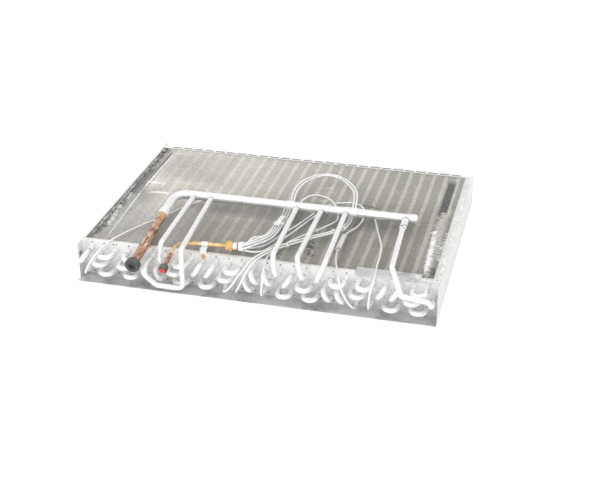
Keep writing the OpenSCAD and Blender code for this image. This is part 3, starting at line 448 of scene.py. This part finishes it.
def finSkin(look):
    # thin foil: bright and dull bands between the tube columns, painted sheen from the fins' shape, with a
    # painted highlight on their rims; a fine rib, grime, and marks of painted shade and painted light
    material, tree, shader, vector = startMaterial("finFoil", 0.35, 0.48)
    at = splitNode(tree, vector)
    waver = noiseNode(tree, vector, 14.0, 3.0)
    even = mathNode(tree, "MULTIPLY", at["X"], 1000 / coil["pitch"])
    column = mathNode(tree, "MULTIPLY_ADD", waver, 0.10, even)
    phase = mathNode(tree, "FRACT", mathNode(tree, "ADD", column, look["phase"]))
    fromBand = mathNode(tree, "ABSOLUTE", mathNode(tree, "SUBTRACT", phase, 0.5))
    band = rangeNode(tree, fromBand, 0.11, 0.19, 1.0, 0.0)
    fromRim = mathNode(tree, "ABSOLUTE", mathNode(tree, "SUBTRACT", fromBand, 0.11))
    rim = rangeNode(tree, fromRim, 0.0, 0.05, 1.0, 0.0)
    right = rangeNode(tree, at["X"], -0.25, 0.25)
    slant = mathNode(tree, "MULTIPLY", mathNode(tree, "MINIMUM", at["X"], 0.0), look["slant"])
    turnAt = (look["turnY"] + coil["frontY"]) / 1000
    behind = rangeNode(tree, mathNode(tree, "SUBTRACT", at["Y"], slant), turnAt - 0.1, turnAt + 0.1)
    far = mixColour(tree, right, *look["back"])
    near = mixColour(tree, right, *look["front"])
    base = mixColour(tree, behind, near, far)
    gain = rangeNode(tree, right, 0.0, 1.0, *look["stripe"])
    tone = mathNode(tree, "MULTIPLY_ADD", band, mathNode(tree, "SUBTRACT", gain, 1.0), 0.95)
    colour = mixColour(tree, 1.0, base, greyNode(tree, tone), "MULTIPLY")
    # painted highlight along the rims of the bright bands
    shine = mathNode(tree, "MULTIPLY", rim, rangeNode(tree, right, 0.0, 1.0, 0.1, 0.3))
    colour = mixColour(tree, shine, colour, (0.86, 0.85, 0.82))
    grime = mathNode(tree, "MULTIPLY", place(tree, smudges, vector, Scale=9.0, Cover=0.5)["Mask"], 0.08)
    colour = mixColour(tree, grime, colour, (0.36, 0.34, 0.30))
    # each mark paints shade or light onto the fins
    for x, y, halfX, halfY, turn, shade, strength, ragged in look["shadeAndLightMarks"]:
        values = {
            "Place": toScene((x, y, 0)), "Half": (halfX / 1000, halfY / 1000, 1),
            "Turn": math.radians(-turn), "Ragged": ragged,
        }
        amount = mathNode(tree, "MULTIPLY", place(tree, patch, vector, **values)["Mask"], strength)
        colour = mixColour(tree, amount, colour, (shade, shade * 0.985, shade * 0.96))
    wide = vectorNode(tree, "MULTIPLY", vector, (0.35, 1.0, 1.0))
    speck = rangeNode(tree, noiseNode(tree, wide, 420.0, 2.0), 0.3, 0.7, 0.78, 1.14)
    colour = mixColour(tree, 1.0, colour, greyNode(tree, speck), "MULTIPLY")
    tree.links.new(colour, shader.inputs["Base Color"])
    tree.links.new(rangeNode(tree, waver, 0.3, 0.7, 0.4, 0.58), shader.inputs["Roughness"])
    links = {"Vector": vector, "Scale": 160.0, "Distortion": 1.0}
    rib = addNode(tree, "ShaderNodeTexWave", links, bands_direction="X").outputs["Fac"]
    setBump(tree, shader, rib, 0.2, 0.0003)
    return material


finFoil = finSkin(finLook)
print("materials ready")

# pieces that keep their own shape: material, and how far the edges are rounded, in mm
finishes = {
    "base_sheet": (galvanised, 0.0), "top_angle": (galvanised, 0.3), "front_tube_sheet": (frontMetal, 0.3),
    "left_side_plate": (plateMetal, 0.3), "casing_rivets": (casingMetal, 0.2),
    "suction_header": (manifoldMetal, 0.0), "header_end_cap": (manifoldMetal, 0.2),
    "header_sleeves": (manifoldMetal, 0.5), "suction_elbow": (manifoldMetal, 0.0),
    "suction_bell": (paleMetal, 0.4), "suction_stub": (heatedCopper, 0.4), "suction_cap": (blackRubber, 0.6),
    "liquid_tube": (darkCopper, 0.0), "liquid_cap": (greyRubber, 0.4), "liquid_plug": (redPlastic, 0.3),
    "liquid_link": (brass, 0.0), "distributor_tube": (brass, 0.0), "distributor_nut": (nutBrass, 0.3),
    "distributor_collar": (manifoldMetal, 0.3), "seal_ring": (sealRed, 0.2), "fan_collar": (paleMetal, 0.3),
    "feeder_ferrules": (tubeMetal, 0.3), "feeder_tie": (whitePlastic, 0.2), "tie_beads": (whitePlastic, 0.5),
    "feeder_sleeve": (whitePlastic, 0.5), "tube_clip": (paleMetal, 0.2), "clip_screw": (screwBrass, 0.2),
}
for k in range(1, 7):
    finishes[f"hairpins_{k}"] = (tubeMetal, 0.3)
    finishes[f"return_bends_{k}"] = (tubeMetal, 0.0)
    finishes[f"suction_branch_{k}"] = (manifoldMetal, 0.0)


def dress(part, material, softEdge):
    # one material, smooth faces with sharp corners, edges rounded by softEdge mm
    part.data.materials.clear()
    part.data.materials.append(material)
    part.data.polygons.foreach_set("use_smooth", [True] * len(part.data.polygons))
    part.data.set_sharp_from_angle(angle=math.radians(32))
    if softEdge:
        bevel = part.modifiers.new("softEdge", "BEVEL")
        bevel.width = softEdge / 1000
        bevel.segments = 2
        bevel.limit_method = "ANGLE"
        bevel.angle_limit = math.radians(40)
        bevel.use_clamp_overlap = True
        bevel.harden_normals = True


for name, (material, softEdge) in finishes.items():
    dress(nodes[name], material, softEdge)
print("carried parts finished")

# pieces whose form is closer to the photograph than the solid's: a narrower lip on the right plate,
# wider slots in the back flange, clips that sit further out and a longer joint on the last branch
changed = {
    "above": 80,  # height over which points may move
    "lip": (424.0, 433.5),  # inner edge of the right lip in the solid, and here
    "slot": (573.7, 570.4),  # front edge of the slots
    "clips": ((186, 214), (530, 541)),  # front ends of the clips
    "clipX": (423, 435.5),
    "clipFoot": 92,  # height that they stand on
    "clipNear": (415, 5, 8),  # a clip's points: x over the first, y within the third of its middle
    "clipStretch": (0.7, 2.4, 1.15),
    "socket": [(0, 6.6), (0, 8.5), (42, 8.5), (47, 8.2), (50, 7.2), (50, 6.5)],  # way along it, radius
    "socketAt": (320, 221, 125),
    "socketWay": (0.012, -1, 0),
}


def moveLip(x, y, z):
    solid, here = changed["lip"]
    return (here, y, z) if abs(x - solid) < 0.4 and z > changed["above"] else (x, y, z)


def moveSlots(x, y, z):
    solid, here = changed["slot"]
    return (x, here, z) if abs(y - solid) < 0.2 and z > changed["above"] else (x, y, z)


def moveClips(x, y, z):
    edge, middle, reach = changed["clipNear"]
    wide, long, high = changed["clipStretch"]
    oldX, newX = changed["clipX"]
    foot = changed["clipFoot"]
    for solid, here in changed["clips"]:
        if x > edge and abs(y - solid - middle) < reach:
            return newX + (x - oldX) * wide, here + (y - solid) * long, foot + (z - foot) * high
    return x, y, z


def reshaped(name, node, move, material, softEdge):
    # a copy of a carried piece with some points moved, in mm from the front sheet
    piece = bpy.data.objects.new(name, nodes[node].data.copy())
    piece.matrix_world = nodes[node].matrix_world
    bpy.context.scene.collection.objects.link(piece)
    for vertex in piece.data.vertices:
        x, y, z = vertex.co * 1000
        vertex.co = toScene(move(x, y - coil["frontY"], z))
    dress(piece, material, softEdge)
    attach(piece, "root")
    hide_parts(node)


def lathe(name, at, way, profile, sides=32):
    # a turned piece: the profile gives its radius at each way along the axis
    d = Vector(way).normalized()
    u = d.orthogonal().normalized()
    w = d.cross(u)
    verts = []
    for along, radius in profile:
        for a in range(sides):
            t = 2 * math.pi * a / sides
            out = u * math.cos(t) + w * math.sin(t)
            verts.append(tuple(toScene(Vector(at) + d * along + out * radius)))
    return meshPiece(name, verts, ringFaces(len(profile), sides, False))


reshaped("rightPlate", "right_side_plate", moveLip, rightMetal, 0.3)
reshaped("backSheet", "back_tube_sheet", moveSlots, backMetal, 0.0)
reshaped("edgeClips", "edge_clips", moveClips, whitePlastic, 1.0)
socket = lathe("branchSocket", changed["socketAt"], changed["socketWay"], changed["socket"])
dress(socket, socketMetal, 0.0)
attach(socket, "root")
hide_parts("branch_socket")
print("changed pieces built")

# fins
finPack = {
    "spacing": 2.0,  # between fins, in mm
    "depth": 572,  # from the first fin to the last, and their middle
    "middle": 290,
    "innerX": (-426, 436),  # the even columns of points lie between these
    "perPitch": 8,  # columns of points for each tube pitch
    "drops": (0, 0.25, 3.0, 9.0),  # levels of points, below the top edge
    "grip": (1.0, 1.0, 0.55, 0.0, 0.0),  # how far each level follows the damage
    "blocks": 4,
    "sway": 0.22,  # how far the edges wander
    "lip": 0.3,  # turned edge on top of each fin
    "field": (900, 600),  # size of the random field that bends the edges
    "lift": 2.4,  # most that the fins are pressed up
    "liftBack": (556, 12),  # from this y, over this length
    "liftRight": (424, 8, 1.6),  # from this x, over this length, by this much
    "leftGap": 10.6,  # the left ends stop this far in, and stand out again with a drop
    "tornAbove": 70,
    "tornX": -420,
    "tornEnds": (66, 65.8, 63),
    # damaged places: x, y, half length, half width, push along y, sink, raggedness
    "damage": [
        (-395, 300, 26, 200, 1.0, 2.0, 1.2), (-374, 250, 10, 190, 2.4, 3.2, 1.6),
        (-405, 110, 16, 70, 2.2, 3.0, 2.0), (-335, 395, 26, 10, 2.0, 2.0, 1.4),
        (-322, 370, 26, 7, 1.6, 1.6, 1.2), (395, 160, 32, 110, 2.0, 3.5, 2.6),
        (404, 360, 16, 24, 2.4, 3.4, 2.0), (424, 220, 12, 260, 1.4, 3.0, 2.6),
        (398, 470, 10, 12, 2.4, 3.0, 1.4), (170, 300, 26, 9, 2.0, 2.0, 1.4),
        (24, 120, 10, 16, 2.4, 2.6, 1.4), (96, 170, 14, 20, 1.6, 2.0, 1.0),
    ],
}


def buildFins(look):
    rng = np.random.default_rng(7)
    half = coil["finHalf"]
    count = int(look["depth"] / look["spacing"]) + 1
    ys = look["middle"] + (np.arange(count) - (count - 1) / 2) * look["spacing"]
    step = coil["pitch"] / look["perPitch"]
    first = look["innerX"][0]
    xs = np.concatenate([[-half, first - 0.6], np.arange(*look["innerX"], step), [half]])
    levels = np.array([*(coil["finTop"] - drop for drop in look["drops"]), coil["finLow"]])
    grip = np.array(look["grip"])
    shape = (count, len(xs), len(levels))
    x = np.broadcast_to(xs[None, :, None], shape).copy()
    y = np.broadcast_to(ys[:, None, None], shape).copy()
    z = np.broadcast_to(levels[None, None, :], shape).copy()

    def wander(cellX, cellY, strength):
        # smooth random field over the top of the pack
        wide, deep = look["field"]
        grid = rng.normal(0, strength, (int(deep / cellY) + 3, int(wide / cellX) + 3))
        u, v = (xs + wide / 2) / cellX, ys / cellY
        iu, iv = u.astype(int), v.astype(int)
        fu, fv = u - iu, v - iv
        fu, fv = fu * fu * (3 - 2 * fu), fv * fv * (3 - 2 * fv)
        a = grid[np.ix_(iv, iu)] * (1 - fu) + grid[np.ix_(iv, iu + 1)] * fu
        b = grid[np.ix_(iv + 1, iu)] * (1 - fu) + grid[np.ix_(iv + 1, iu + 1)] * fu
        return a * (1 - fv[:, None]) + b * fv[:, None]

    push = wander(16, 3, look["sway"]) + wander(60, 40, look["sway"]) + wander(5, 2, look["sway"] * 0.4)
    sink = np.abs(wander(30, 6, 0.12))
    bite = wander(6, 3, 1.0)
    for cx, cy, rx, ry, along, down, rag in look["damage"]:
        fall = np.clip(1.25 - np.sqrt(((xs[None, :] - cx) / rx) ** 2 + ((ys[:, None] - cy) / ry) ** 2), 0, 1)
        push += fall * (along + rag * 0.6 * bite)
        sink += fall * np.clip(down * 0.5 + rag * 0.5 * bite, 0, 6)
    # pressed up against the back flange and the right lip
    backY, backRun = look["liftBack"]
    rightX, rightRun, rightLift = look["liftRight"]
    lift = look["lift"] * np.clip((ys[:, None] - backY) / backRun, 0, 1)
    lift = lift + rightLift * np.clip((xs[None, :] - rightX) / rightRun, 0, 1)
    z += np.minimum(lift, look["lift"])[:, :, None] * grip
    y += push[:, :, None] * grip
    z -= sink[:, :, None] * grip
    y[:, :, 0] += look["lip"]
    # the left ends are torn back in steps
    ragged = np.clip(rng.normal(0, 2.2, (count, 1)) + wander(900, 12, 2.0)[:, :1], -2.5, 6)
    high = levels > look["tornAbove"]
    x[:, xs < first, :] += np.where(high, look["leftGap"], 0)[None, None, :]
    x[:, xs < look["tornX"], :] += (ragged * high)[:, None, :]
    z[:, 0, :3] = np.array(look["tornEnds"]) + rng.normal(0, 1.5, (count, 1))
    x[:, 0, :3] = -half + np.abs(rng.normal(0, 2.0, (count, 1)))
    # right ends stop short of the plate by different amounts
    x[:, -1, :] -= np.abs(rng.normal(0, 1.2, (count, 1)))
    points = np.stack([x, y + coil["frontY"], z], -1) / 1000
    n, m = len(xs), len(levels)
    quads = np.array([
        (a * m + b, (a + 1) * m + b, (a + 1) * m + b + 1, a * m + b + 1)
        for a in range(n - 1) for b in range(m - 1)
    ])
    pieces = []
    for k, rows in enumerate(np.array_split(np.arange(count), look["blocks"])):
        verts = points[rows].reshape(-1, 3)
        faces = (quads[None] + (np.arange(len(rows)) * n * m)[:, None, None]).reshape(-1, 4)
        piece = meshPiece(f"fins_{k + 1}", verts.tolist(), faces.tolist())
        piece.data.materials.append(finFoil)
        pieces.append(piece)
    return pieces


finBlocks = buildFins(finPack)
for block in finBlocks:
    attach(block, "root")
    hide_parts("fin_pack")
print("fins built")

# feeder tubes
feeders = {
    "radius": 2.4,
    "sides": 14,
    "ring": 4.0,  # between rings of points, in mm
    "wobble": 0.25,
    "collar": (-181, 10, 111),  # start of the distributor, which is turned by an angle
    "turn": 5.5,
    "fan": (141, 151),  # way along it to the feeders' ends, and to where they are free
    "holeRing": 8,
    "holeAngles": (0, 60, 120, 180, 300, 240),
    "endColumns": (-412.75, -31.75, -63.5, 31.75, 254.0, 285.75),
    "endRun": (-46, -30),  # last straight piece before the socket
    # points from the distributor to the bottom row, in mm
    "routes": [
        [
            (-20, 54, 120), (0, 85, 113), (7, 125, 111), (8, 155, 110), (9, 200, 105), (6, 245, 102),
            (-4, 275, 102), (-25, 288, 104), (-63, 286, 106), (-123, 285, 106), (-169, 278, 104),
            (-204, 266, 100), (-228, 245, 97), (-259, 205, 96), (-288, 145, 96), (-315, 103, 97),
            (-342, 51, 98), (-362, 5, 98), (-374, -30, 93), (-384, -54, 82), (-394, -62, 66),
            (-404, -62, 48), (-411, -56, 34),
        ],
        [
            (-15, 46, 119), (6, 84, 116), (13, 124, 111), (14, 155, 110), (16, 200, 105), (15, 240, 103),
            (11, 290, 104), (6, 340, 110), (12, 378, 116), (32, 410, 121), (67, 432, 124),
            (108, 427, 124), (146, 396, 122), (170, 356, 118), (179, 308, 112), (182, 262, 107),
            (184, 225, 106), (184, 195, 110), (178, 165, 112), (160, 142, 112), (127, 117, 110),
            (94, 92, 107), (62, 64, 105), (34, 36, 102), (14, 10, 99), (4, -18, 97), (-5, -44, 87),
            (-13, -59, 70), (-20, -63, 55), (-27, -59, 41), (-31, -53, 32),
        ],
        [
            (-12, 37, 118), (12, 80, 115), (19, 122, 111), (20, 155, 110), (23, 200, 105), (22, 240, 103),
            (18, 290, 104), (14, 338, 110), (20, 372, 116), (38, 401, 121), (68, 424, 124),
            (104, 420, 124), (139, 391, 122), (163, 353, 118), (172, 306, 112), (175, 262, 107),
            (177, 225, 106), (177, 198, 110), (171, 171, 112), (155, 149, 112), (122, 124, 110),
            (88, 100, 107), (56, 72, 105), (27, 43, 102), (6, 14, 99), (-6, -14, 97), (-15, -40, 88),
            (-28, -55, 71), (-37, -61, 56), (-50, -63, 40), (-61, -57, 31),
        ],
        [
            (-8, 32, 115), (18, 76, 112), (25, 120, 110), (26, 155, 110), (30, 200, 104), (31, 235, 102),
            (34, 270, 103), (40, 300, 108), (52, 322, 111), (70, 330, 112), (95, 323, 112),
            (118, 305, 111), (136, 275, 107), (147, 240, 105), (148, 215, 105), (137, 190, 106),
            (112, 151, 106), (80, 114, 104), (50, 78, 98), (35, 46, 95), (27, 18, 95.5), (30, -10, 97),
            (33, -38, 92), (35, -57, 80), (35, -63, 62), (33, -63, 45), (32, -56, 33),
        ],
        [
            (-14, 38, 103), (6, 57, 101), (20, 92, 99), (34, 135, 98), (54, 179, 98), (74, 235, 98),
            (93, 285, 99), (118, 309, 102), (153, 320, 105), (184, 314, 106), (203, 290, 104),
            (209, 250, 101), (203, 213, 98), (189, 182, 98), (181, 155, 99), (181, 130, 100),
            (182, 85, 100), (185, 51, 99), (192, 22, 98), (203, -15, 98), (213, -45, 94), (222, -63, 82),
            (232, -67, 64), (243, -67, 46), (252, -59, 33),
        ],
        [
            (-12, 22, 101), (10, 35, 99), (27, 70, 98), (42, 112, 97), (61, 163, 98), (84, 232, 98),
            (104, 284, 97), (132, 303, 97), (167, 309, 97), (200, 303, 97), (224, 284, 98),
            (240, 249, 99), (259, 186, 103), (280, 120, 104), (286, 78, 102), (288, 31, 100),
            (291, 0, 100), (293, -30, 98), (291, -53, 84), (289, -63, 68), (287, -63, 48), (286, -56, 34),
        ],
    ],
}


def smoothLine(points, step):
    # a smooth curve through all the points
    p = np.array(points, float)
    last = len(p) - 1
    out = []
    for i in range(last):
        a, b, c, d = p[max(0, i - 1)], p[i], p[i + 1], p[min(last, i + 2)]
        count = max(2, int(round(np.linalg.norm(c - b) / step)))
        for t in np.arange(count) / count:
            square, cube = 2 * a - 5 * b + 4 * c - d, 3 * b - a - 3 * c + d
            out.append(0.5 * (2 * b + (c - a) * t + square * t**2 + cube * t**3))
    out.append(p[last])
    return np.array(out)


def sweptTube(name, line, radius, sides):
    ahead = np.gradient(line, axis=0)
    ahead /= np.linalg.norm(ahead, axis=1)[:, None]
    u = np.cross(ahead[0], (0, 0, 1.0))
    u /= np.linalg.norm(u)
    turn = 2 * np.pi * np.arange(sides) / sides
    rings = []
    for point, d in zip(line, ahead):
        u = u - d * (u @ d)
        u /= np.linalg.norm(u)
        w = np.cross(d, u)
        rings.append(point + radius * (np.cos(turn)[:, None] * u + np.sin(turn)[:, None] * w))
    verts = [tuple(toScene(v)) for v in np.concatenate(rings)]
    return meshPiece(name, verts, ringFaces(len(line), sides, True))


def buildFeeders(look):
    rng = np.random.default_rng(3)
    angle = math.radians(look["turn"])
    along = np.array([math.cos(angle), math.sin(angle), 0])
    across = np.array([-math.sin(angle), math.cos(angle), 0])
    for k, route in enumerate(look["routes"]):
        around = math.radians(look["holeAngles"][k])
        aside = across * math.cos(around) + np.array([0, 0, math.sin(around)])
        hole = np.array(look["collar"]) + look["holeRing"] * aside
        points = [hole + along * way for way in look["fan"]] + route
        points += [(look["endColumns"][k], y, coil["rows"][-1]) for y in look["endRun"]]
        line = smoothLine(points, look["ring"])
        n = len(line)
        soft = np.cumsum(rng.normal(0, 1, (n, 3)), 0)
        soft -= np.linspace(0, 1, n)[:, None] * soft[-1]
        soft *= look["wobble"] / max(1e-6, np.abs(soft).max())
        tube = sweptTube(f"feederTube_{k + 1}", line + soft, look["radius"], look["sides"])
        tube.data.materials.append(tubeMetal)
        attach(tube, "root")
        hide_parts(f"feeder_{k + 1}")


buildFeeders(feeders)
print("feeders built")

# braze beads at the joints
braze = {
    "around": 24,  # points round a bead's ring, and across the bead
    "across": 8,
    "seatY": -22.0,  # front face of the sockets
    "radius": 6.9,
    "fillet": 0.9,
    "lump": 0.28,
    "header": (232, 125),  # y and z of the header's axis
    # beads round the branches: x, way out from the axis, radius, thickness
    "branches": [
        (-226, 11.6, 6.5, 1.3), (-179, 11.6, 6.5, 1.3), (45, 11.6, 6.5, 1.3), (108, 11.6, 6.5, 1.3),
        (170, 11.6, 6.5, 1.3), (320, 11.6, 8.6, 1.3), (320, 38.2, 7.4, 1.2),
    ],
    # beads round the header: x, radius, thickness
    "sleeves": [
        (330, 11.6, 0.8), (19, 11.6, 0.8), (37, 11.6, 0.8), (182, 11.6, 0.8), (200, 11.6, 0.8),
        (-242, 11.1, 0.6),
    ],
}


def bead(look, verts, faces, centre, axis, radius, thick, rng):
    # one uneven ring of filler round a tube
    d = Vector(axis).normalized()
    u = d.orthogonal().normalized()
    w = d.cross(u)
    start, around, across = len(verts), look["around"], look["across"]
    bumps = rng.normal(0, look["lump"], around)
    bumps = (bumps + np.roll(bumps, 1) + np.roll(bumps, -1)) / 2
    for a in range(around):
        t = 2 * math.pi * a / around
        out = u * math.cos(t) + w * math.sin(t)
        for b in range(across):
            s = 2 * math.pi * b / across
            size = thick * (1 + bumps[a])
            p = Vector(centre) + out * (radius + size * math.cos(s)) + d * (1.3 * size * math.sin(s))
            verts.append(tuple(toScene(p)))
    for a in range(around):
        for b in range(across):
            c, e = (a + 1) % around, (b + 1) % across
            ring, following = start + a * across, start + c * across
            faces.append((ring + b, following + b, following + e, ring + e))


def buildJoints(look):
    rng = np.random.default_rng(11)
    verts, faces = [], []
    for z in coil["rows"]:
        count = coil["columns"] + (z == coil["rows"][1])
        for i in range(count):
            x = (i - (count - 1) / 2) * coil["pitch"]
            bead(look, verts, faces, (x, look["seatY"], z), (0, 1, 0), look["radius"], look["fillet"], rng)
    ring = meshPiece("brazeRings", verts, faces)
    ring.data.materials.append(brazeMetal)
    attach(ring, "root")
    verts, faces = [], []
    y, z = look["header"]
    for x, out, radius, thick in look["branches"]:
        bead(look, verts, faces, (x, y - out, z), (0, 1, 0), radius, thick, rng)
    for x, radius, thick in look["sleeves"]:
        bead(look, verts, faces, (x, y, z), (1, 0, 0), radius, thick, rng)
    fillet = meshPiece("headerBraze", verts, faces)
    fillet.data.materials.append(brazeMetal)
    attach(fillet, "root")


# black discs behind the small holes in the front sheet: painted shade for the dark inside of the holes
holes = {
    "radius": 2.4,
    "sides": 16,
    "y": 1.6,
    "levels": (88, 9),
    "extra": 1.75,  # one more hole between two columns of the top line
    "reach": 413,  # the outermost holes go right through, so they get no back
}


def buildHoleShade(look):
    verts, faces = [], []
    radius, sides = look["radius"], look["sides"]
    for z in look["levels"]:
        more = [look["extra"]] if z == look["levels"][0] else []
        for i in [*range(coil["columns"]), *more]:
            x = (i - (coil["columns"] - 1) / 2) * coil["pitch"]
            if abs(x) > look["reach"]:
                continue
            start = len(verts)
            for a in range(sides):
                t = 2 * math.pi * a / sides
                verts.append(tuple(toScene((x + radius * math.cos(t), look["y"], z + radius * math.sin(t)))))
            faces.append(tuple(range(start, start + sides)))
    shadeDiscs = meshPiece("holeShadeDiscs", verts, faces, smooth=False)
    shadeDiscs.data.materials.append(holeShadeBlack)
    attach(shadeDiscs, "root")


buildHoleShade(holes)

# single fins that stand up out of line
bent = {
    "segments": 4,
    "reach": (-438.5, 441.5),  # between the side plates
    # zones: x, y, half width, half length, how many, length, height, lean, foot height
    "zones": [
        (-410, 150, 14, 55, 16, 12, 1.2, 0.5, 86.6), (393, 285, 12, 48, 8, 12, 1.2, 0.5, 86.6),
        (413, 170, 17, 78, 40, 9, 1.6, 0.7, 86.4), (431, 280, 4.5, 262, 160, 7, 2.6, 1.2, 86.4),
        (-431, 290, 4, 250, 120, 7, 5.0, 2.0, 80.0), (-423, 200, 5, 150, 36, 9, 1.8, 0.9, 85.0),
        (47, 46, 7, 10, 9, 8, 1.4, 0.6, 86.8), (114, 90, 8, 30, 15, 8, 1.4, 0.6, 86.8),
        (398, 139, 5, 100, 24, 8, 1.6, 0.7, 86.6), (212, 346, 18, 5, 8, 8, 1.2, 0.6, 86.8),
        (-434, 300, 3.5, 270, 220, 7, 6.0, 2.0, 82.0), (436, 290, 4.5, 275, 300, 7, 3.2, 2.4, 90.2),
    ],
    # combs of evenly bent fins: x and y of the first, x and y of the last, how many, length, height, lean
    "combs": [
        (-409, 98, -420, 204, 14, 14, 2.0, 0.6), (-416, 234, -419, 276, 6, 11, 1.6, 0.5),
        (392, 250, 399, 60, 38, 16, 2.2, 0.7), (396, 258, 398, 352, 13, 16, 1.3, 0.35),
        (418, 110, 421, 246, 14, 14, 1.4, 0.4),
    ],
    "combFoot": 86.8,
}


def buildBentFins(look):
    rng = np.random.default_rng(23)
    verts, faces = [], []

    def strip(x, y, span, rise, tip, skew, foot):
        # one fin edge that stands up, arched between its ends
        start = len(verts)
        for k in range(look["segments"] + 1):
            t = k / look["segments"] - 0.5
            px = float(np.clip(x + span * t, *look["reach"]))
            py = y + span * t * skew
            arch = 1 - (2 * t) ** 2
            verts.append(tuple(toScene((px, py, foot))))
            verts.append(tuple(toScene((px, py + tip * arch, foot + 0.3 + rise * (0.35 + 0.65 * arch)))))
        for k in range(look["segments"]):
            a = start + 2 * k
            faces.append((a, a + 2, a + 3, a + 1))

    for x, y, halfX, halfY, count, length, height, lean, foot in look["zones"]:
        for _ in range(count):
            at = np.array([x + rng.uniform(-halfX, halfX), y + rng.uniform(-halfY, halfY)])
            span = length * rng.uniform(0.5, 1.3)
            rise = height * rng.uniform(0.4, 1.2)
            tip = lean * rng.uniform(-0.6, 1.8)
            strip(*at, span, rise, tip, rng.normal(0, 0.12), foot)
    for x0, y0, x1, y1, count, length, height, lean in look["combs"]:
        for k in range(count):
            t = k / (count - 1)
            x = x0 + (x1 - x0) * t + rng.normal(0, 1.2)
            y = y0 + (y1 - y0) * t + rng.normal(0, 0.6)
            span = length * rng.uniform(0.75, 1.15)
            tip = 2 * lean * rng.uniform(0.6, 1.4)
            strip(x, y, span, height, tip, rng.normal(0, 0.06), look["combFoot"])
    piece = meshPiece("bentFins", verts, faces)
    piece.data.materials.append(bentFoil)
    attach(piece, "root")


buildBentFins(bent)

# white tag that lies along the feeders at their tie
tag = {"from": (16, 138, 116.5), "to": (19, 192, 115.5), "half": 6.0, "steps": 10, "rise": 2.2, "thick": 0.5}


def buildTag(look):
    verts = []
    for k in range(look["steps"] + 1):
        t = k / look["steps"]
        arch = Vector((0, 0, look["rise"] * math.sin(math.pi * t)))
        mid = Vector(look["from"]).lerp(Vector(look["to"]), t) + arch
        for side, drop in ((-1, 0), (1, 0), (1, look["thick"]), (-1, look["thick"])):
            verts.append(tuple(toScene(mid + Vector((side * look["half"], 0, -drop - 0.6 * side)))))
    piece = meshPiece("tieTag", verts, ringFaces(look["steps"] + 1, 4, True))
    dress(piece, whitePlastic, 0.0)
    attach(piece, "root")


buildTag(tag)
buildJoints(braze)
print("joints built")

# floor, light and camera
studio = {
    "lens": 70.727,
    "cameraAt": (0.7229, -2.6007, 1.4579),
    "cameraTurn": (1.07351, 0.00862, 0.25400),
    "floor": {"half": 12, "drop": 0.0006, "shade": 0.9, "glow": 0.35},
    "sky": 0.9,
    # dark card behind the coil, above the view, that shows in the bright tubes
    "card": {"at": (-0.15, 2.9, 2.05), "size": (1.1, 1.7), "shade": 0.3},
    "lamps": [  # place, aim, width, power
        ((-1.6, -1.2, 2.6), (0, 0, 0), 3.6, 24.0),
        ((1.8, 0.6, 2.4), (0, 0, 0), 3.0, 10.0),
        ((0.2, -2.8, 1.2), (0, 0, 0.05), 2.4, 14.0),
    ],
}


def whiteInCamera(tree):
    # 1 for camera and mirror rays, which see plain white, and 0 for all others
    path = tree.nodes.new("ShaderNodeLightPath")
    mirrored = mathNode(tree, "MAXIMUM", path.outputs["Is Glossy Ray"], path.outputs["Is Transmission Ray"])
    return mathNode(tree, "MAXIMUM", path.outputs["Is Camera Ray"], mirrored)


def buildFloor(look):
    mesh = bpy.data.meshes.new("floor")
    bm = bmesh.new()
    bmesh.ops.create_grid(bm, x_segments=8, y_segments=8, size=look["half"])
    bm.to_mesh(mesh)
    bm.free()
    floor = bpy.data.objects.new("floor", mesh)
    floor.location = (0, 0, -look["drop"])
    bpy.context.scene.collection.objects.link(floor)
    paper, tree, shader, _ = startMaterial("paper", 0.0, 0.9)
    shader.inputs["Base Color"].default_value = (*[look["shade"]] * 3, 1)
    glow = addNode(tree, "ShaderNodeEmission", {"Color": (1, 1, 1, 1), "Strength": look["glow"]})
    seen = whiteInCamera(tree)
    both = addNode(tree, "ShaderNodeAddShader", {0: shader.outputs[0], 1: glow.outputs[0]})
    mix = addNode(tree, "ShaderNodeMixShader", {0: seen, 1: shader.outputs[0], 2: both.outputs[0]})
    tree.links.new(mix.outputs[0], tree.nodes["Material Output"].inputs["Surface"])
    mesh.materials.append(paper)


def buildCard(look):
    width, height = look["size"]
    x, y, z = look["at"]
    corners = [(x + a * width / 2, y, z + b * height / 2) for a, b in ((-1, -1), (1, -1), (1, 1), (-1, 1))]
    panel = meshPiece("darkCard", corners, [(0, 1, 2, 3)], smooth=False)
    cloth, _, shader, _ = startMaterial("cardCloth", 0.0, 0.9)
    shader.inputs["Base Color"].default_value = (*[look["shade"]] * 3, 1)
    panel.data.materials.append(cloth)


def buildStudio(look):
    buildFloor(look["floor"])
    buildCard(look["card"])
    world = bpy.data.worlds.new("studio")
    bpy.context.scene.world = world
    world.use_nodes = True
    tree = world.node_tree
    back = tree.nodes["Background"]
    back.inputs["Color"].default_value = (1, 1, 1, 1)
    seen = whiteInCamera(tree)
    tree.links.new(rangeNode(tree, seen, 0.0, 1.0, look["sky"], 1.0), back.inputs["Strength"])
    for k, (at, aim, width, power) in enumerate(look["lamps"]):
        lamp = bpy.data.lights.new(f"lamp_{k + 1}", "AREA")
        lamp.shape = "SQUARE"
        lamp.size = width
        lamp.energy = power
        holder = bpy.data.objects.new(f"lamp_{k + 1}", lamp)
        holder.location = at
        holder.rotation_euler = (Vector(at) - Vector(aim)).to_track_quat("Z", "Y").to_euler()
        bpy.context.scene.collection.objects.link(holder)
    camera = bpy.data.cameras.new("camera")
    camera.lens = look["lens"]
    camera.sensor_width = 36
    camera.clip_start = 0.05
    camera.clip_end = 60
    eye = bpy.data.objects.new("camera", camera)
    eye.location = look["cameraAt"]
    eye.rotation_euler = look["cameraTurn"]
    bpy.context.scene.collection.objects.link(eye)
    bpy.context.scene.camera = eye
    bpy.context.scene.view_settings.view_transform = "Standard"


buildStudio(studio)
print("studio ready")

bpy.context.view_layer.update()
